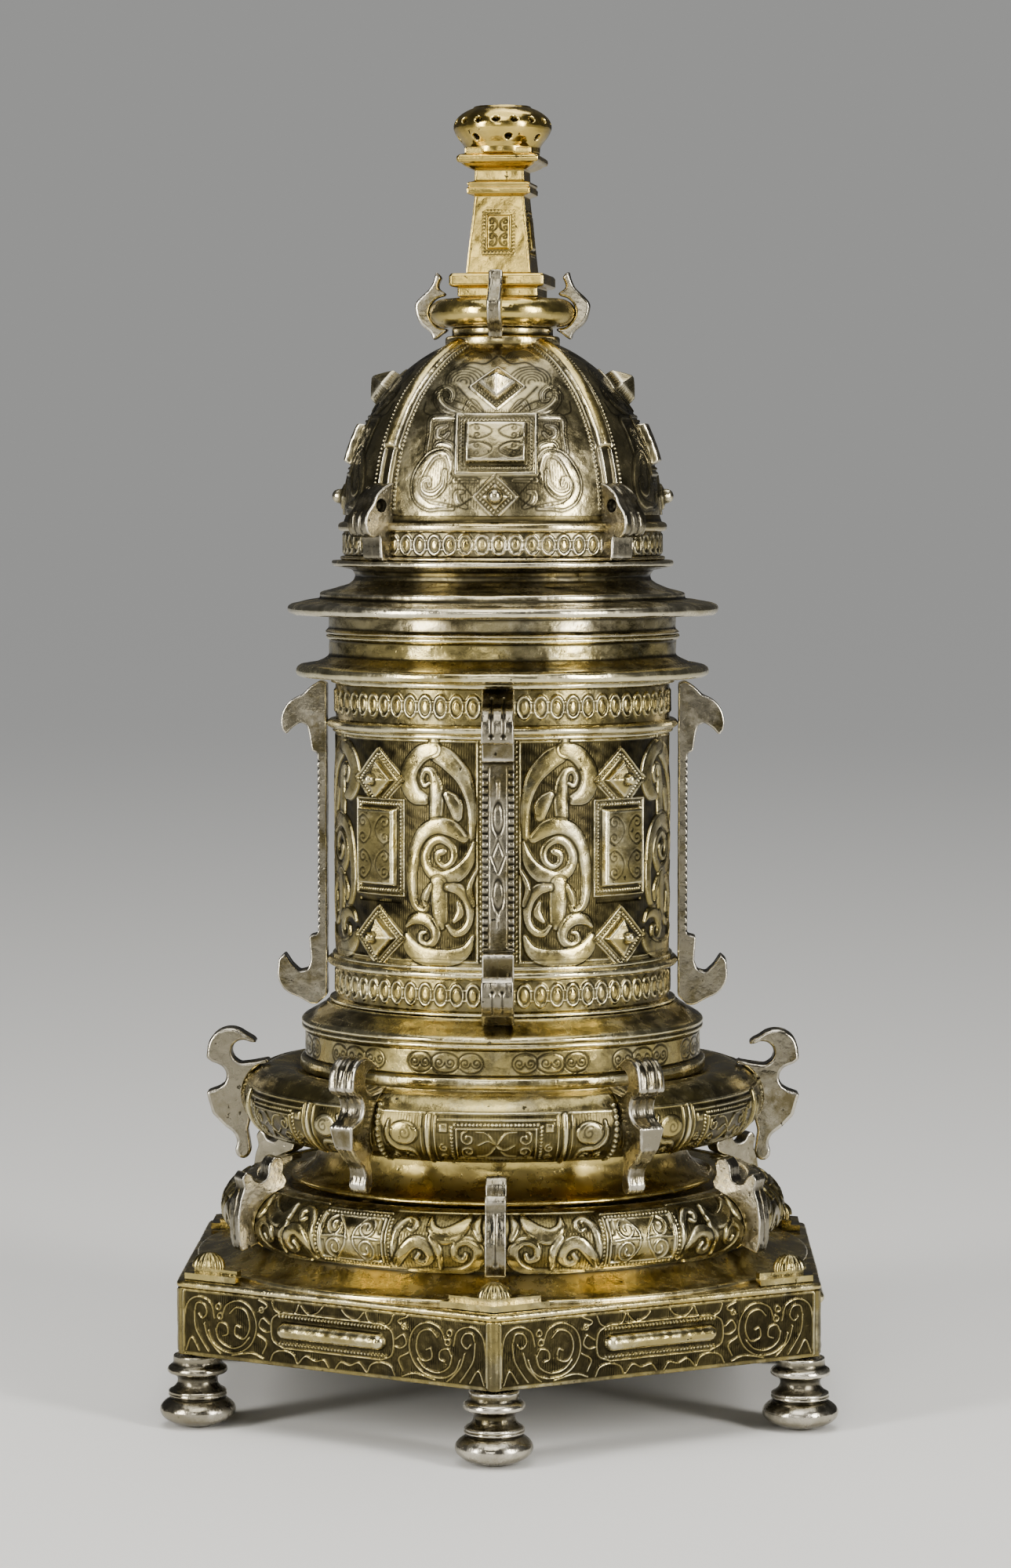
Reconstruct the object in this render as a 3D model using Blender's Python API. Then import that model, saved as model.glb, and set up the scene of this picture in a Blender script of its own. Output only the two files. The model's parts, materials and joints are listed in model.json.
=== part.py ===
"""A silver-gilt tower monstrance: hexagonal foot, round host chamber, lift-off lid and turning finial.

Lengths below are in millimetres and are scaled to metres when a mesh is made. The origin is the centre of
the foot at the level of the floor, +Z is up, and azimuth 0 is the front corner of the foot, towards -Y.
"""

import math

import bmesh
import bpy
from mathutils import Matrix

MM = 0.001

# Driving dimensions
SEGMENTS = 24
GAP = 0.3
WALL = 1.3
ROD_RADIUS = 2.6
ROD_HOLE = 3.0

FOOT_CIRCLE = 105.0
BASE_CORNER = 111.5
BASE_BOTTOM = 22.1
BASE_TOP = 44.8
PLATE_EDGE = 1.8
BASE_TORUS = (75.0, 60.0, 12.0, 10.0)
STUD_CIRCLE = 41.5
DISH_RIM = 66.1
UPPER_TORUS = (69.5, 94.0, 11.0, 10.7)
DRUM_RADIUS = 61.5
DRUM_BOTTOM = 103.0
BODY_RADIUS = 51.8
BODY_BOTTOM = 124.3
BODY_TOP = 224.5
RING_RADIUS = 54.2
CORNICE_RADIUS = 63.8
COLLAR_RADIUS = 53.8
SEAM = 237.9
LID_CORNICE_RADIUS = 66.6
DOME_RADIUS = 49.0
DOME_SPRING = 274.3
DOME_RISE = 56.3
CROWN_RADIUS = 17.5
DOME_TOP = 332.0
LANTERN_TOP = 341.1
SHAFT_BOTTOM = 348.7
CAP_TOP = 387.0
TOP = 400.0

LID_TURN = -1.3
LANTERN_TURN = -4.7
FINIAL_TURN = -6.7


def metal(name, colour, roughness):
    material = bpy.data.materials.new(name)
    material.use_nodes = True
    shader = material.node_tree.nodes["Principled BSDF"]
    shader.inputs["Base Color"].default_value = (*colour, 1.0)
    shader.inputs["Metallic"].default_value = 1.0
    shader.inputs["Roughness"].default_value = roughness
    return material


def arc(centre, radii, start, end, steps):
    """Points along an ellipse's arc in the (radius, height) plane, both ends included; angles in degrees."""
    angles = [math.radians(start + (end - start) * i / steps) for i in range(steps + 1)]
    return [(centre[0] + radii[0] * math.cos(a), centre[1] + radii[1] * math.sin(a)) for a in angles]


def torus_arc(torus, offset, start, end, steps):
    """An arc that keeps an even distance outside a moulding's elliptical section."""
    radius, height, wide, tall = torus
    return arc((radius, height), (wide + offset, tall + offset), start, end, steps)


def finish(name, bm, material, parent=None, azimuth=0.0, smooth=35.0):
    """Make the bmesh, drawn in millimetres with +X outwards, into an object turned to its azimuth."""
    bmesh.ops.remove_doubles(bm, verts=bm.verts, dist=1e-4)
    bmesh.ops.recalc_face_normals(bm, faces=bm.faces)
    bmesh.ops.scale(bm, vec=(MM, MM, MM), verts=bm.verts)
    mesh = bpy.data.meshes.new(name)
    bm.to_mesh(mesh)
    bm.free()
    mesh.materials.append(material)
    mesh.shade_smooth()
    mesh.set_sharp_from_angle(angle=math.radians(smooth))
    obj = bpy.data.objects.new(name, mesh)
    obj.rotation_euler.z = math.radians(azimuth - 90.0)
    obj.parent = parent
    bpy.context.collection.objects.link(obj)
    return obj


def spun(profile, segments=SEGMENTS):
    """A closed outline in the (radius, height) plane, spun once around the axis."""
    bm = bmesh.new()
    corners = [bm.verts.new((r, 0.0, z)) for r, z in profile]
    edges = [bm.edges.new(pair) for pair in zip(corners, corners[1:] + corners[:1])]
    bmesh.ops.spin(
        bm,
        geom=corners + edges,
        cent=(0, 0, 0),
        axis=(0, 0, 1),
        dvec=(0, 0, 0),
        angle=math.tau,
        steps=segments,
        use_merge=True,
    )
    return bm


def extruded(outline, width):
    """An outline in the (radius, height) plane, extruded to both sides of that plane."""
    bm = bmesh.new()
    face = bm.faces.new([bm.verts.new((r, -width / 2, z)) for r, z in outline])
    moved = bmesh.ops.extrude_face_region(bm, geom=[face])["geom"]
    corners = [item for item in moved if isinstance(item, bmesh.types.BMVert)]
    bmesh.ops.translate(bm, verts=corners, vec=(0, width, 0))
    return bm


def raised(outline, bottom, top):
    """A flat outline, extruded upwards."""
    bm = bmesh.new()
    face = bm.faces.new([bm.verts.new((x, y, bottom)) for x, y in outline])
    moved = bmesh.ops.extrude_face_region(bm, geom=[face])["geom"]
    corners = [item for item in moved if isinstance(item, bmesh.types.BMVert)]
    bmesh.ops.translate(bm, verts=corners, vec=(0, 0, top - bottom))
    return bm


def polygon(sides, radius, first=0.0):
    angles = [math.radians(first) + math.tau * i / sides for i in range(sides)]
    return [(radius * math.cos(a), radius * math.sin(a)) for a in angles]


def lofted(sections, sides=4):
    """Polygons of the given (half width, height), stacked and joined, with flat ends."""
    bm = bmesh.new()
    slope = math.cos(math.pi / sides)
    rings = []
    for half, z in sections:
        corners = polygon(sides, half / slope, 180.0 / sides)
        rings.append([bm.verts.new((x, y, z)) for x, y in corners])
    bm.faces.new(rings[0])
    bm.faces.new(rings[-1])
    for low, high in zip(rings, rings[1:]):
        for i in range(sides):
            j = (i + 1) % sides
            bm.faces.new((low[i], low[j], high[j], high[i]))
    return bm


def combine(target, other, operation):
    """Join to the target, or cut from it, another object that stays out of sight."""
    other.hide_render = True
    other.display_type = "WIRE"
    modifier = target.modifiers.new(operation.title(), "BOOLEAN")
    modifier.operation = operation
    modifier.object = other
    return target


def bore(target, bottom, top, radius=ROD_HOLE, sides=16):
    """Cut a round hole on the axis."""
    material = target.data.materials[0]
    hole = raised(polygon(sides, radius), bottom, top)
    drill = finish(f"{target.name}_drill", hole, material, target.parent)
    return combine(target, drill, "DIFFERENCE")


# The foot


def foot(name, azimuth, material):
    ball = arc((0.0, 5.0), (11.5, 5.0), -60, 50, 4)
    neck = [(8.8, 9.5), (8.8, 11.0), (6.1, 13.3), (6.3, 15.4)]
    flange = [(8.9, 16.5), (8.9, 18.1), (7.4, 19.2), (7.4, 21.8), (0.0, 21.8)]
    bm = spun([(0.0, 0.0), (5.0, 0.0)] + ball[1:] + neck + flange, 10)
    bmesh.ops.translate(bm, verts=bm.verts, vec=(FOOT_CIRCLE, 0, 0))
    return finish(name, bm, material, azimuth=azimuth)


def floor_plate(material):
    outline = polygon(6, BASE_CORNER - WALL / math.cos(math.pi / 6) - GAP * 1.2)
    plate = finish("base_floor_plate", raised(outline, BASE_BOTTOM, BASE_BOTTOM + WALL), material)
    return bore(plate, BASE_BOTTOM - 1, BASE_BOTTOM + WALL + 1)


def side_band(material):
    """The hexagonal side wall, with a half-round bar raised on each side."""
    outline = polygon(6, BASE_CORNER)
    top = BASE_TOP - PLATE_EDGE - GAP
    band = finish("base_side_band", raised(outline, BASE_BOTTOM, top), material)
    inner = raised(polygon(6, BASE_CORNER - WALL / math.cos(math.pi / 6)), BASE_BOTTOM - 1, top + 1)
    apothem = BASE_CORNER * math.cos(math.pi / 6)
    middle = (BASE_BOTTOM + top) / 2 + 0.6
    for side in range(6):
        half = [(apothem - 0.4, middle - 3.0)]
        half += arc((apothem, middle), (3.2, 2.8), -80, 80, 5)
        half += [(apothem - 0.4, middle + 3.0)]
        bar = finish(f"side_bar_{side + 1}", extruded(half, 30.0), material, azimuth=30 + 60 * side)
        combine(band, bar, "UNION")
    combine(band, finish("band_inside", inner, material), "DIFFERENCE")
    return band


def base_top_shell(material):
    """The hexagonal top plate, the cove and the lower torus, raised from one sheet."""
    outer = arc((94.0, 53.5), (14.0, 7.4), -90, -168, 3)
    outer += torus_arc(BASE_TORUS, 0.0, -50, 138, 8)
    inner = torus_arc(BASE_TORUS, -WALL, 138, -50, 5)
    inner += arc((94.0, 53.5), (15.6, 8.8), -168, -90, 2)
    top = BASE_TOP + 0.05
    disc = 66.1
    profile = [(96.0, top)] + outer + [(64.5, disc), (ROD_HOLE, disc)]
    profile += [(ROD_HOLE, disc - WALL), (65.2, disc - WALL)] + inner[1:] + [(96.0, inner[-1][1])]
    shell = finish("base_top_shell", spun(profile), material)
    plate = finish("top_plate", raised(polygon(6, BASE_CORNER), BASE_TOP - PLATE_EDGE, BASE_TOP), material)
    hole = raised(polygon(SEGMENTS, 93.0), BASE_TOP - PLATE_EDGE - 1, BASE_TOP + 1)
    combine(plate, finish("plate_hole", hole, material), "DIFFERENCE")
    return combine(shell, plate, "UNION")


def corner_step(name, azimuth, material):
    """Two low steps in a corner of the plate, with a small half dome on them."""
    steps = None
    for i, (corner, along, bottom, top) in enumerate(
        [(109.2, 18.5, BASE_TOP + GAP, 46.9), (105.9, 15.5, 46.4, 48.3)]
    ):
        side = (corner - along * math.cos(math.radians(60)), along * math.sin(math.radians(60)))
        inner = [(96.6 * math.cos(a), 96.6 * math.sin(a)) for a in (0.12, 0.0, -0.12)]
        outline = [(corner, 0.0), side] + inner + [(side[0], -side[1])]
        piece = finish(f"{name}_{i}", raised(outline, bottom, top), material, azimuth=azimuth)
        if steps is None:
            steps = piece
            steps.name = name
        else:
            combine(steps, piece, "UNION")
    fan = spun([(0.0, -0.5)] + arc((0.0, 0.0), (4.4, 4.3), 0, 90, 3)[:-1] + [(0.0, 4.3)], 10)
    bmesh.ops.translate(fan, verts=fan.verts, vec=(101.2, 0, 48.3))
    return combine(steps, finish(f"{name}_fan", fan, material, azimuth=azimuth), "UNION")


def base_bracket(name, azimuth, material):
    """A scroll console that clasps the lower torus."""
    outline = [(91.6, 52.2), (92.6, 56.0), (92.8, 62.0), (91.8, 68.0), (90.5, 71.5), (91.4, 74.4)]
    outline += [(90.0, 76.4), (88.3, 75.6)]
    outline += arc((85.2, 75.3), (2.7, 2.5), -5, -185, 6)
    outline += [(82.3, 78.0), (80.6, 80.3), (78.2, 80.2), (77.0, 78.2)]
    outline += [(77.6, 75.4), (76.2, 73.0), (77.0, 70.7)]
    outline += torus_arc(BASE_TORUS, GAP, 72, -32, 7)
    return finish(name, extruded(outline, 6.2), material, azimuth=azimuth)


def spacer_stud(name, azimuth, material):
    bm = spun([(0.0, 66.4), (4.3, 66.4), (4.3, 68.4), (0.0, 68.4)], 12)
    bmesh.ops.translate(bm, verts=bm.verts, vec=(STUD_CIRCLE, 0, 0))
    return finish(name, bm, material, azimuth=azimuth)


# The stem


def dish(material):
    profile = [(ROD_HOLE, 68.7), (65.6, 68.7), (DISH_RIM, 69.2), (DISH_RIM, 69.9), (65.6, 70.4)]
    profile += arc((66.0, 80.0), (9.0, 9.4), -100, -172, 4)
    profile += [(57.0, 82.9), (55.7, 82.9), (55.7, 79.5)]
    profile += [(57.2, 74.0), (61.5, 70.1), (ROD_HOLE, 70.0)]
    return finish("dish", spun(profile), material)


def upper_torus(material):
    outer = torus_arc(UPPER_TORUS, 0.0, -112, 124, 9)
    inner = torus_arc(UPPER_TORUS, -WALL, 124, -112, 6)
    profile = [(54.6, 83.2), (64.0, 83.2)] + outer + [(50.0, 102.7), (50.0, 101.4)]
    profile += inner + [(54.6, 84.6)]
    return finish("upper_torus", spun(profile), material)


def torus_bracket(name, azimuth, material):
    """A hooked console on the upper torus."""
    outline = [(76.6, 110.3), (77.4, 111.6)]
    outline += arc((85.0, 108.2), (7.0, 6.8), 135, 10, 7)
    outline += [(92.3, 105.6), (90.6, 104.2)]
    outline += arc((90.0, 99.9), (4.0, 4.0), 100, 252, 5)
    outline += [(92.4, 94.8), (90.6, 88.0), (87.0, 84.2), (84.0, 82.0), (82.9, 79.6)]
    outline += arc((81.1, 76.4), (2.5, 2.7), 40, -180, 6)
    outline += [(79.0, 79.5), (79.6, 83.0)]
    outline += torus_arc(UPPER_TORUS, GAP, -38, 74, 8)
    outline += [(73.0, 105.2), (77.5, 104.4), (81.4, 103.9)]
    outline += arc((80.9, 107.6), (3.7, 3.7), -70, 130, 6)
    return finish(name, extruded(outline, 8.6), material, azimuth=azimuth)


def drum(material):
    """The drum under the chamber; its flat top is the chamber's floor."""
    profile = [(62.4, DRUM_BOTTOM), (63.0, 103.8), (63.0, 106.6), (DRUM_RADIUS, 107.3), (DRUM_RADIUS, 115.3)]
    profile += [(62.5, 115.8), (62.5, 118.8), (58.0, 121.4), (54.6, 124.0), (ROD_HOLE, 124.0)]
    profile += [(ROD_HOLE, 122.6), (54.0, 122.6), (57.2, 120.2), (60.6, 118.2), (60.1, 115.0)]
    profile += [(60.1, DRUM_BOTTOM)]
    return finish("drum", spun(profile), material)


# The host chamber


def body_wall(material):
    inner = BODY_RADIUS - WALL
    profile = [(inner, BODY_BOTTOM), (53.8, BODY_BOTTOM), (53.8, 125.3), (BODY_RADIUS, 125.5)]
    profile += [(BODY_RADIUS, 135.2), (RING_RADIUS, 135.6), (RING_RADIUS, 137.8), (BODY_RADIUS, 138.2)]
    profile += [(BODY_RADIUS, 208.7), (RING_RADIUS, 209.1), (RING_RADIUS, 211.5), (BODY_RADIUS, 211.9)]
    profile += [(BODY_RADIUS, 222.6), (53.4, 223.0), (53.4, BODY_TOP), (inner, BODY_TOP)]
    wall = finish("chamber_wall", spun(profile), material)
    for i in range(4):
        plaque = [(BODY_RADIUS - 0.8, 162.9), (BODY_RADIUS + 2.4, 162.9), (BODY_RADIUS + 2.4, 186.2)]
        plaque += [(BODY_RADIUS - 0.8, 186.2)]
        block = finish(f"panel_plaque_{i}", extruded(plaque, 15.3), material, azimuth=45 + 90 * i)
        combine(wall, block, "UNION")
    return wall


def buttress(name, azimuth, material):
    """A tall scroll-ended buttress that stands against the chamber's rings."""
    inner = RING_RADIUS + GAP
    outline = [(inner, 222.6), (56.6, 223.4), (59.6, 221.4), (62.0, 219.0)]
    outline += arc((61.5, 210.5), (7.2, 8.2), 68, -18, 6)
    outline += [(67.0, 206.6), (65.3, 208.6), (62.7, 210.4), (60.6, 209.6), (59.9, 207.0), (59.1, 201.5)]
    outline += [(57.4, 201.0), (57.4, 144.5), (60.1, 143.8), (59.5, 136.4), (60.6, 133.4), (63.2, 132.7)]
    outline += [(65.8, 135.2), (67.8, 138.4), (69.6, 136.6)]
    outline += arc((62.0, 132.4), (8.0, 7.6), 12, -76, 5)
    outline += [(59.6, 122.6), (57.6, 122.6), (inner, 125.4)]
    return finish(name, extruded(outline, 9.6), material, azimuth=azimuth)


def body_cornice(material):
    profile = [(50.6, 224.8), (62.9, 224.8), (CORNICE_RADIUS, 225.6), (CORNICE_RADIUS, 227.6), (62.8, 228.5)]
    profile += [(58.0, 229.2), (54.8, 230.7), (COLLAR_RADIUS, 231.4), (COLLAR_RADIUS, 236.3), (54.8, 236.9)]
    profile += [(54.8, SEAM - 0.1), (52.5, SEAM - 0.1), (52.5, 230.6), (50.6, 229.6)]
    return finish("body_cornice", spun(profile), material)


# The lid


def lid_cornice(parent, material):
    inner = 52.5
    profile = [(inner, SEAM + 0.2), (54.8, SEAM + 0.2), (54.8, 239.0), (COLLAR_RADIUS, 239.6)]
    profile += [(COLLAR_RADIUS, 244.0), (65.6, 244.0), (LID_CORNICE_RADIUS, 244.9)]
    profile += [(LID_CORNICE_RADIUS, 246.6), (65.4, 247.4), (56.4, 249.0), (56.4, 250.8)]
    profile += [(51.5, 252.0), (46.6, 254.3)]
    profile += [(45.7, 256.0), (47.0, 257.8), (52.8, 259.0), (52.8, 260.6)]
    profile += [(44.2, 260.6), (44.2, 254.0), (50.2, 250.6), (inner, 249.0)]
    return finish("lid_cornice", spun(profile), material, parent)


def lid_bezel(parent, material):
    profile = [(51.0, 232.0), (52.1, 232.0), (52.1, 247.0), (51.0, 247.0)]
    return finish("lid_bezel", spun(profile), material, parent)


def dome(parent, material):
    rise = (DOME_RADIUS, DOME_RISE)
    crown = math.degrees(math.acos(CROWN_RADIUS / DOME_RADIUS))
    centre = (0.0, DOME_SPRING)
    inside = (DOME_RADIUS - WALL, DOME_RISE - WALL)
    neck = 14.2
    inside_end = math.degrees(math.acos(neck / inside[0]))
    profile = [(47.8, 260.9), (50.3, 260.9), (50.3, 261.8), (49.1, 262.1), (49.1, 269.4), (50.8, 270.0)]
    profile += [(50.8, 272.0), (49.3, 272.8)] + arc(centre, rise, 0, crown, 7)
    profile += [(CROWN_RADIUS, 329.2), (15.6, 329.4), (15.6, DOME_TOP), (ROD_HOLE, DOME_TOP)]
    profile += [(ROD_HOLE, DOME_TOP - 1.4), (neck, DOME_TOP - 1.4)] + arc(centre, inside, inside_end, 0, 4)
    shell = finish("dome", spun(profile), material, parent)
    for i in range(4):
        azimuth = 90 * i + LID_TURN
        plaque = extruded([(43.6, 288.6), (49.6, 289.9), (45.8, 302.4), (40.0, 300.6)], 18.3)
        combine(shell, finish(f"dome_plaque_{i}", plaque, material, parent, azimuth), "UNION")
        boss = lofted([(5.0, 0.0), (5.0, 4.6), (0.4, 10.4)])
        bmesh.ops.rotate(boss, cent=(0, 0, 0), matrix=tilt(50.0), verts=boss.verts)
        bmesh.ops.translate(boss, verts=boss.verts, vec=(33.0, 0, 308.4))
        combine(shell, finish(f"dome_boss_{i}", boss, material, parent, azimuth), "UNION")
        knop = spun([(0.0, 46.0), (2.0, 46.0), (2.0, 52.4), (2.4, 53.6), (1.7, 55.4), (0.0, 55.8)], 8)
        bmesh.ops.rotate(knop, cent=(0, 0, 0), matrix=tilt(90.0), verts=knop.verts)
        bmesh.ops.translate(knop, verts=knop.verts, vec=(0, 0, 279.2))
        combine(shell, finish(f"dome_knop_{i}", knop, material, parent, azimuth), "UNION")
    return shell


def tilt(degrees):
    """The rotation that lays +Z over towards +X."""
    c, s = math.cos(math.radians(degrees)), math.sin(math.radians(degrees))
    return Matrix(((c, 0, s), (0, 1, 0), (-s, 0, c)))


def dome_bracket(name, parent, azimuth, material):
    """A scroll at the foot of a rib, with a round hollow above it."""
    outline = [(48.6, 284.6), (51.0, 283.0), (55.0, 281.0), (58.0, 278.2), (59.0, 275.6), (57.6, 275.4)]
    outline += arc((54.0, 277.4), (3.3, 2.8), -20, 190, 6)[1:]
    outline += [(50.7, 275.4), (52.5, 274.3), (57.0, 274.8)]
    outline += arc((51.2, 270.6), (6.4, 6.6), 20, -68, 5)
    outline += [(52.0, 262.4), (51.0, 260.9), (50.6, 260.9), (50.6, 262.2), (49.4, 262.4), (49.4, 269.0)]
    outline += [(51.1, 269.7), (51.1, 272.3), (49.6, 273.1), (49.3, 275.0), (49.2, 279.0), (48.9, 281.5)]
    return finish(name, extruded(outline, 8.6), material, parent, azimuth)


def lantern_ring(parent, material):
    outer = arc((17.6, 336.7), (5.1, 4.4), -90, 90, 5)
    inner = arc((17.6, 336.7), (3.7, 3.0), 90, -90, 3)
    profile = outer + [(ROD_HOLE, LANTERN_TOP), (ROD_HOLE, LANTERN_TOP - 1.4)] + inner
    profile += [(16.0, 333.7), (16.0, 332.3)]
    return finish("lantern_ring", spun(profile, 20), material, parent)


def lantern_bracket(name, parent, azimuth, material):
    outline = [(20.9, 349.0), (21.6, 349.4), (22.6, 344.6), (25.2, 341.4), (27.6, 338.9), (26.0, 334.6)]
    outline += [(23.6, 332.6), (22.3, 331.2), (21.4, 328.9), (19.6, 329.8), (16.4, 330.4), (16.4, 331.8)]
    outline += arc((17.6, 336.7), (5.4, 4.7), -86, 46, 5)
    outline += [(20.9, 341.2)]
    return finish(name, extruded(outline, 4.4), material, parent, azimuth)


# The finial


def obelisk_plinth(parent, material):
    plinth = finish("obelisk_plinth", lofted([(12.3, 341.5), (12.3, 344.6)]), material, parent)
    slab = lofted([(14.0, 344.2), (14.5, 344.8), (14.5, 347.9), (14.1, 348.4)])
    slab = finish("plinth_slab", slab, material, parent)
    combine(plinth, slab, "UNION")
    return bore(plinth, 341.0, 349.0)


def obelisk(parent, material):
    """The tapering shaft with its capital, on a screwed tang that passes down through the lantern."""
    sections = [(10.0, SHAFT_BOTTOM), (7.65, 372.3), (9.75, 373.0), (9.75, 376.3), (7.5, 377.0), (7.5, 380.6)]
    sections += [(10.6, 381.0), (10.6, 382.3), (12.5, 382.6), (12.5, 384.6), (8.5, 384.9), (8.5, CAP_TOP)]
    shaft = finish("obelisk", lofted(sections), material, parent)
    tang = finish("tang", raised(polygon(12, ROD_RADIUS), 319.0, 352.0), material, parent)
    return combine(shaft, tang, "UNION")


def knob(parent, material):
    """The hollow socket at the very top, open upwards."""
    bottom = CAP_TOP + GAP
    profile = [(0.0, bottom), (11.0, bottom)] + arc((0.0, 393.4), (15.1, 7.6), -38, 54, 5)
    profile += [(9.0, TOP), (7.3, TOP), (7.3, 398.9), (11.2, 396.2), (13.2, 393.4)]
    profile += [(10.6, 389.4), (0.0, 388.9)]
    return finish("knob", spun(profile, 20), material, parent)


def hex_nut(name, bottom, top, width, parent, material):
    nut = finish(name, raised(polygon(6, width / math.sqrt(3)), bottom, top), material, parent)
    return bore(nut, bottom - 1, top + 1, ROD_RADIUS + GAP, 12)


# The clamp that holds the foot, the stem and the chamber together


def tie_rod(material):
    return finish("tie_rod", raised(polygon(12, ROD_RADIUS), 8.0, 131.0), material)


def wing_nut(parent, material):
    hub = spun([(ROD_HOLE, 13.0), (6.5, 13.0), (5.0, 21.7), (ROD_HOLE, 21.7)], 16)
    hub = finish("wing_nut", hub, material, parent)
    wing = [(5.0, 14.0), (10.0, 12.6), (14.0, 11.0), (16.4, 13.0), (16.0, 16.6), (12.0, 17.6), (5.0, 19.6)]
    for i in range(2):
        combine(hub, finish(f"wing_{i}", extruded(wing, 2.4), material, parent, 40 + 180 * i), "UNION")
    return hub


def axis_empty(name):
    """The upright axis of a moving group, on the centre line."""
    empty = bpy.data.objects.new(name, None)
    empty.empty_display_size = 0.02
    bpy.context.collection.objects.link(empty)
    return empty


def main():
    for obj in list(bpy.data.objects):
        bpy.data.objects.remove(obj, do_unlink=True)
    engraved = metal("gilt_engraved", (0.72, 0.56, 0.30), 0.34)
    bright = metal("gilt_bright", (0.83, 0.60, 0.22), 0.26)
    worn = metal("silver_worn", (0.66, 0.62, 0.54), 0.36)
    steel = metal("steel", (0.45, 0.44, 0.42), 0.45)

    for i in range(6):
        azimuth = 60 * i
        foot(f"foot_{i + 1}", azimuth, worn)
        corner_step(f"corner_step_{i + 1}", azimuth, engraved)
        base_bracket(f"base_bracket_{i + 1}", azimuth, worn)
        torus_bracket(f"torus_bracket_{i + 1}", azimuth + 30, worn)
    floor_plate(worn)
    side_band(engraved)
    base_top_shell(engraved)
    for i in range(3):
        spacer_stud(f"spacer_stud_{i + 1}", 23 + 120 * i, worn)
    dish(bright)
    upper_torus(engraved)
    drum(engraved)
    body_wall(engraved)
    for i, side in enumerate(("front", "right", "back", "left")):
        buttress(f"buttress_{side}", 90 * i, worn)
    body_cornice(engraved)
    tie_rod(steel)
    hex_nut("tie_rod_nut", 124.3, 129.0, 10.0, None, steel)
    wing_nut(axis_empty("wing_nut_axis"), steel)

    lid = axis_empty("lid_axis")
    lid_cornice(lid, engraved)
    lid_bezel(lid, bright)
    dome(lid, engraved)
    for i in range(4):
        dome_bracket(f"dome_bracket_{i + 1}", lid, 45 + 90 * i + LID_TURN, worn)
        lantern_bracket(f"lantern_bracket_{i + 1}", lid, 90 * i + LANTERN_TURN, worn)
    lantern_ring(lid, bright)

    finial = axis_empty("finial_axis")
    finial.parent = lid
    finial.rotation_euler.z = math.radians(FINIAL_TURN)
    obelisk_plinth(finial, engraved)
    obelisk(finial, engraved)
    knob(finial, engraved)
    hex_nut("finial_nut", 325.2, 330.2, 9.6, finial, steel)


main()
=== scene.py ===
"""The monstrance tower's looks: embossed silver-gilt relief, worn castings and bright spun rings."""
import collections
import json
import math

import bmesh
import bpy
import numpy as np
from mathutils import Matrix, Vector, geometry

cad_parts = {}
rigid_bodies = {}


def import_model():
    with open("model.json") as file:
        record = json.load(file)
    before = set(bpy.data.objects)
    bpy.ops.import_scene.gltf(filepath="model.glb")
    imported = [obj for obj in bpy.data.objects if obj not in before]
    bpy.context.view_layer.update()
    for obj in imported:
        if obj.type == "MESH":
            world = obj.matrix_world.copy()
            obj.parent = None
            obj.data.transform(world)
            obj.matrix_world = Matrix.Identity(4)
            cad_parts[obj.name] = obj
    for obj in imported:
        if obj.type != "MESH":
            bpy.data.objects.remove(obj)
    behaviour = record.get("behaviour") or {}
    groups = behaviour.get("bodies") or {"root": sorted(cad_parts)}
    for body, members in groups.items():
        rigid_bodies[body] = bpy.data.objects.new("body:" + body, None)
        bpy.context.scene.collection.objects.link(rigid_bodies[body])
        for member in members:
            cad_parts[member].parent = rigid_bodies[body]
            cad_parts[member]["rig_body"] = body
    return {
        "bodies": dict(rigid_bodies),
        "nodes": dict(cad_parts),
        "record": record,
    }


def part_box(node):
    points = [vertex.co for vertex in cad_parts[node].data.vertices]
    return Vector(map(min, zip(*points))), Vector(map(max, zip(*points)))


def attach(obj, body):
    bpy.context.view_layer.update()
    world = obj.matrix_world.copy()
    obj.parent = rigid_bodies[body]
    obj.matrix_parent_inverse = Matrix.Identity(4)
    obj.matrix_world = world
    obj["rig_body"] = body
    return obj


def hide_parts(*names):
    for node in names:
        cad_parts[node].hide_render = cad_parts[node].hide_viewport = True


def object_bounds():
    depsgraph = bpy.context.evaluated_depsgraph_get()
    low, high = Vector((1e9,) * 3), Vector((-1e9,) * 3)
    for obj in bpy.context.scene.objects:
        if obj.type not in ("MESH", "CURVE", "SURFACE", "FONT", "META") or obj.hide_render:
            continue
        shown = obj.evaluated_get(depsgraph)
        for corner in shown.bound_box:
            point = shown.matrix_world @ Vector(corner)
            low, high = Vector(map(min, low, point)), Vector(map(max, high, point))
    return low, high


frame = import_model()
cad_low, cad_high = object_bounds()

MM = 0.001
FRONT = -math.pi / 2  # the direction of azimuth 0, as an angle from +X
CIRCLE_POINTS = 24  # round the eye of a scroll
ROUND_SEGMENTS = 288  # round a ring
random = np.random.default_rng(7)
Finish = collections.namedtuple("Finish", "body slot material")


# Places, read from the frame, in millimetres


def local_points(node, azimuth):
    """A node's corners and triangles, turned so that its own plane faces +X, in millimetres."""
    mesh = frame["nodes"][node].data
    points = np.zeros(len(mesh.vertices) * 3)
    mesh.vertices.foreach_get("co", points)
    points = points.reshape(-1, 3) / MM
    a = -(math.radians(azimuth) + FRONT)
    facing = points.copy()
    facing[:, 0] = points[:, 0] * math.cos(a) - points[:, 1] * math.sin(a)
    facing[:, 1] = points[:, 0] * math.sin(a) + points[:, 1] * math.cos(a)
    mesh.calc_loop_triangles()
    corners = np.zeros(len(mesh.loop_triangles) * 3, np.int32)
    mesh.loop_triangles.foreach_get("vertices", corners)
    return facing, corners.reshape(-1, 3)


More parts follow.
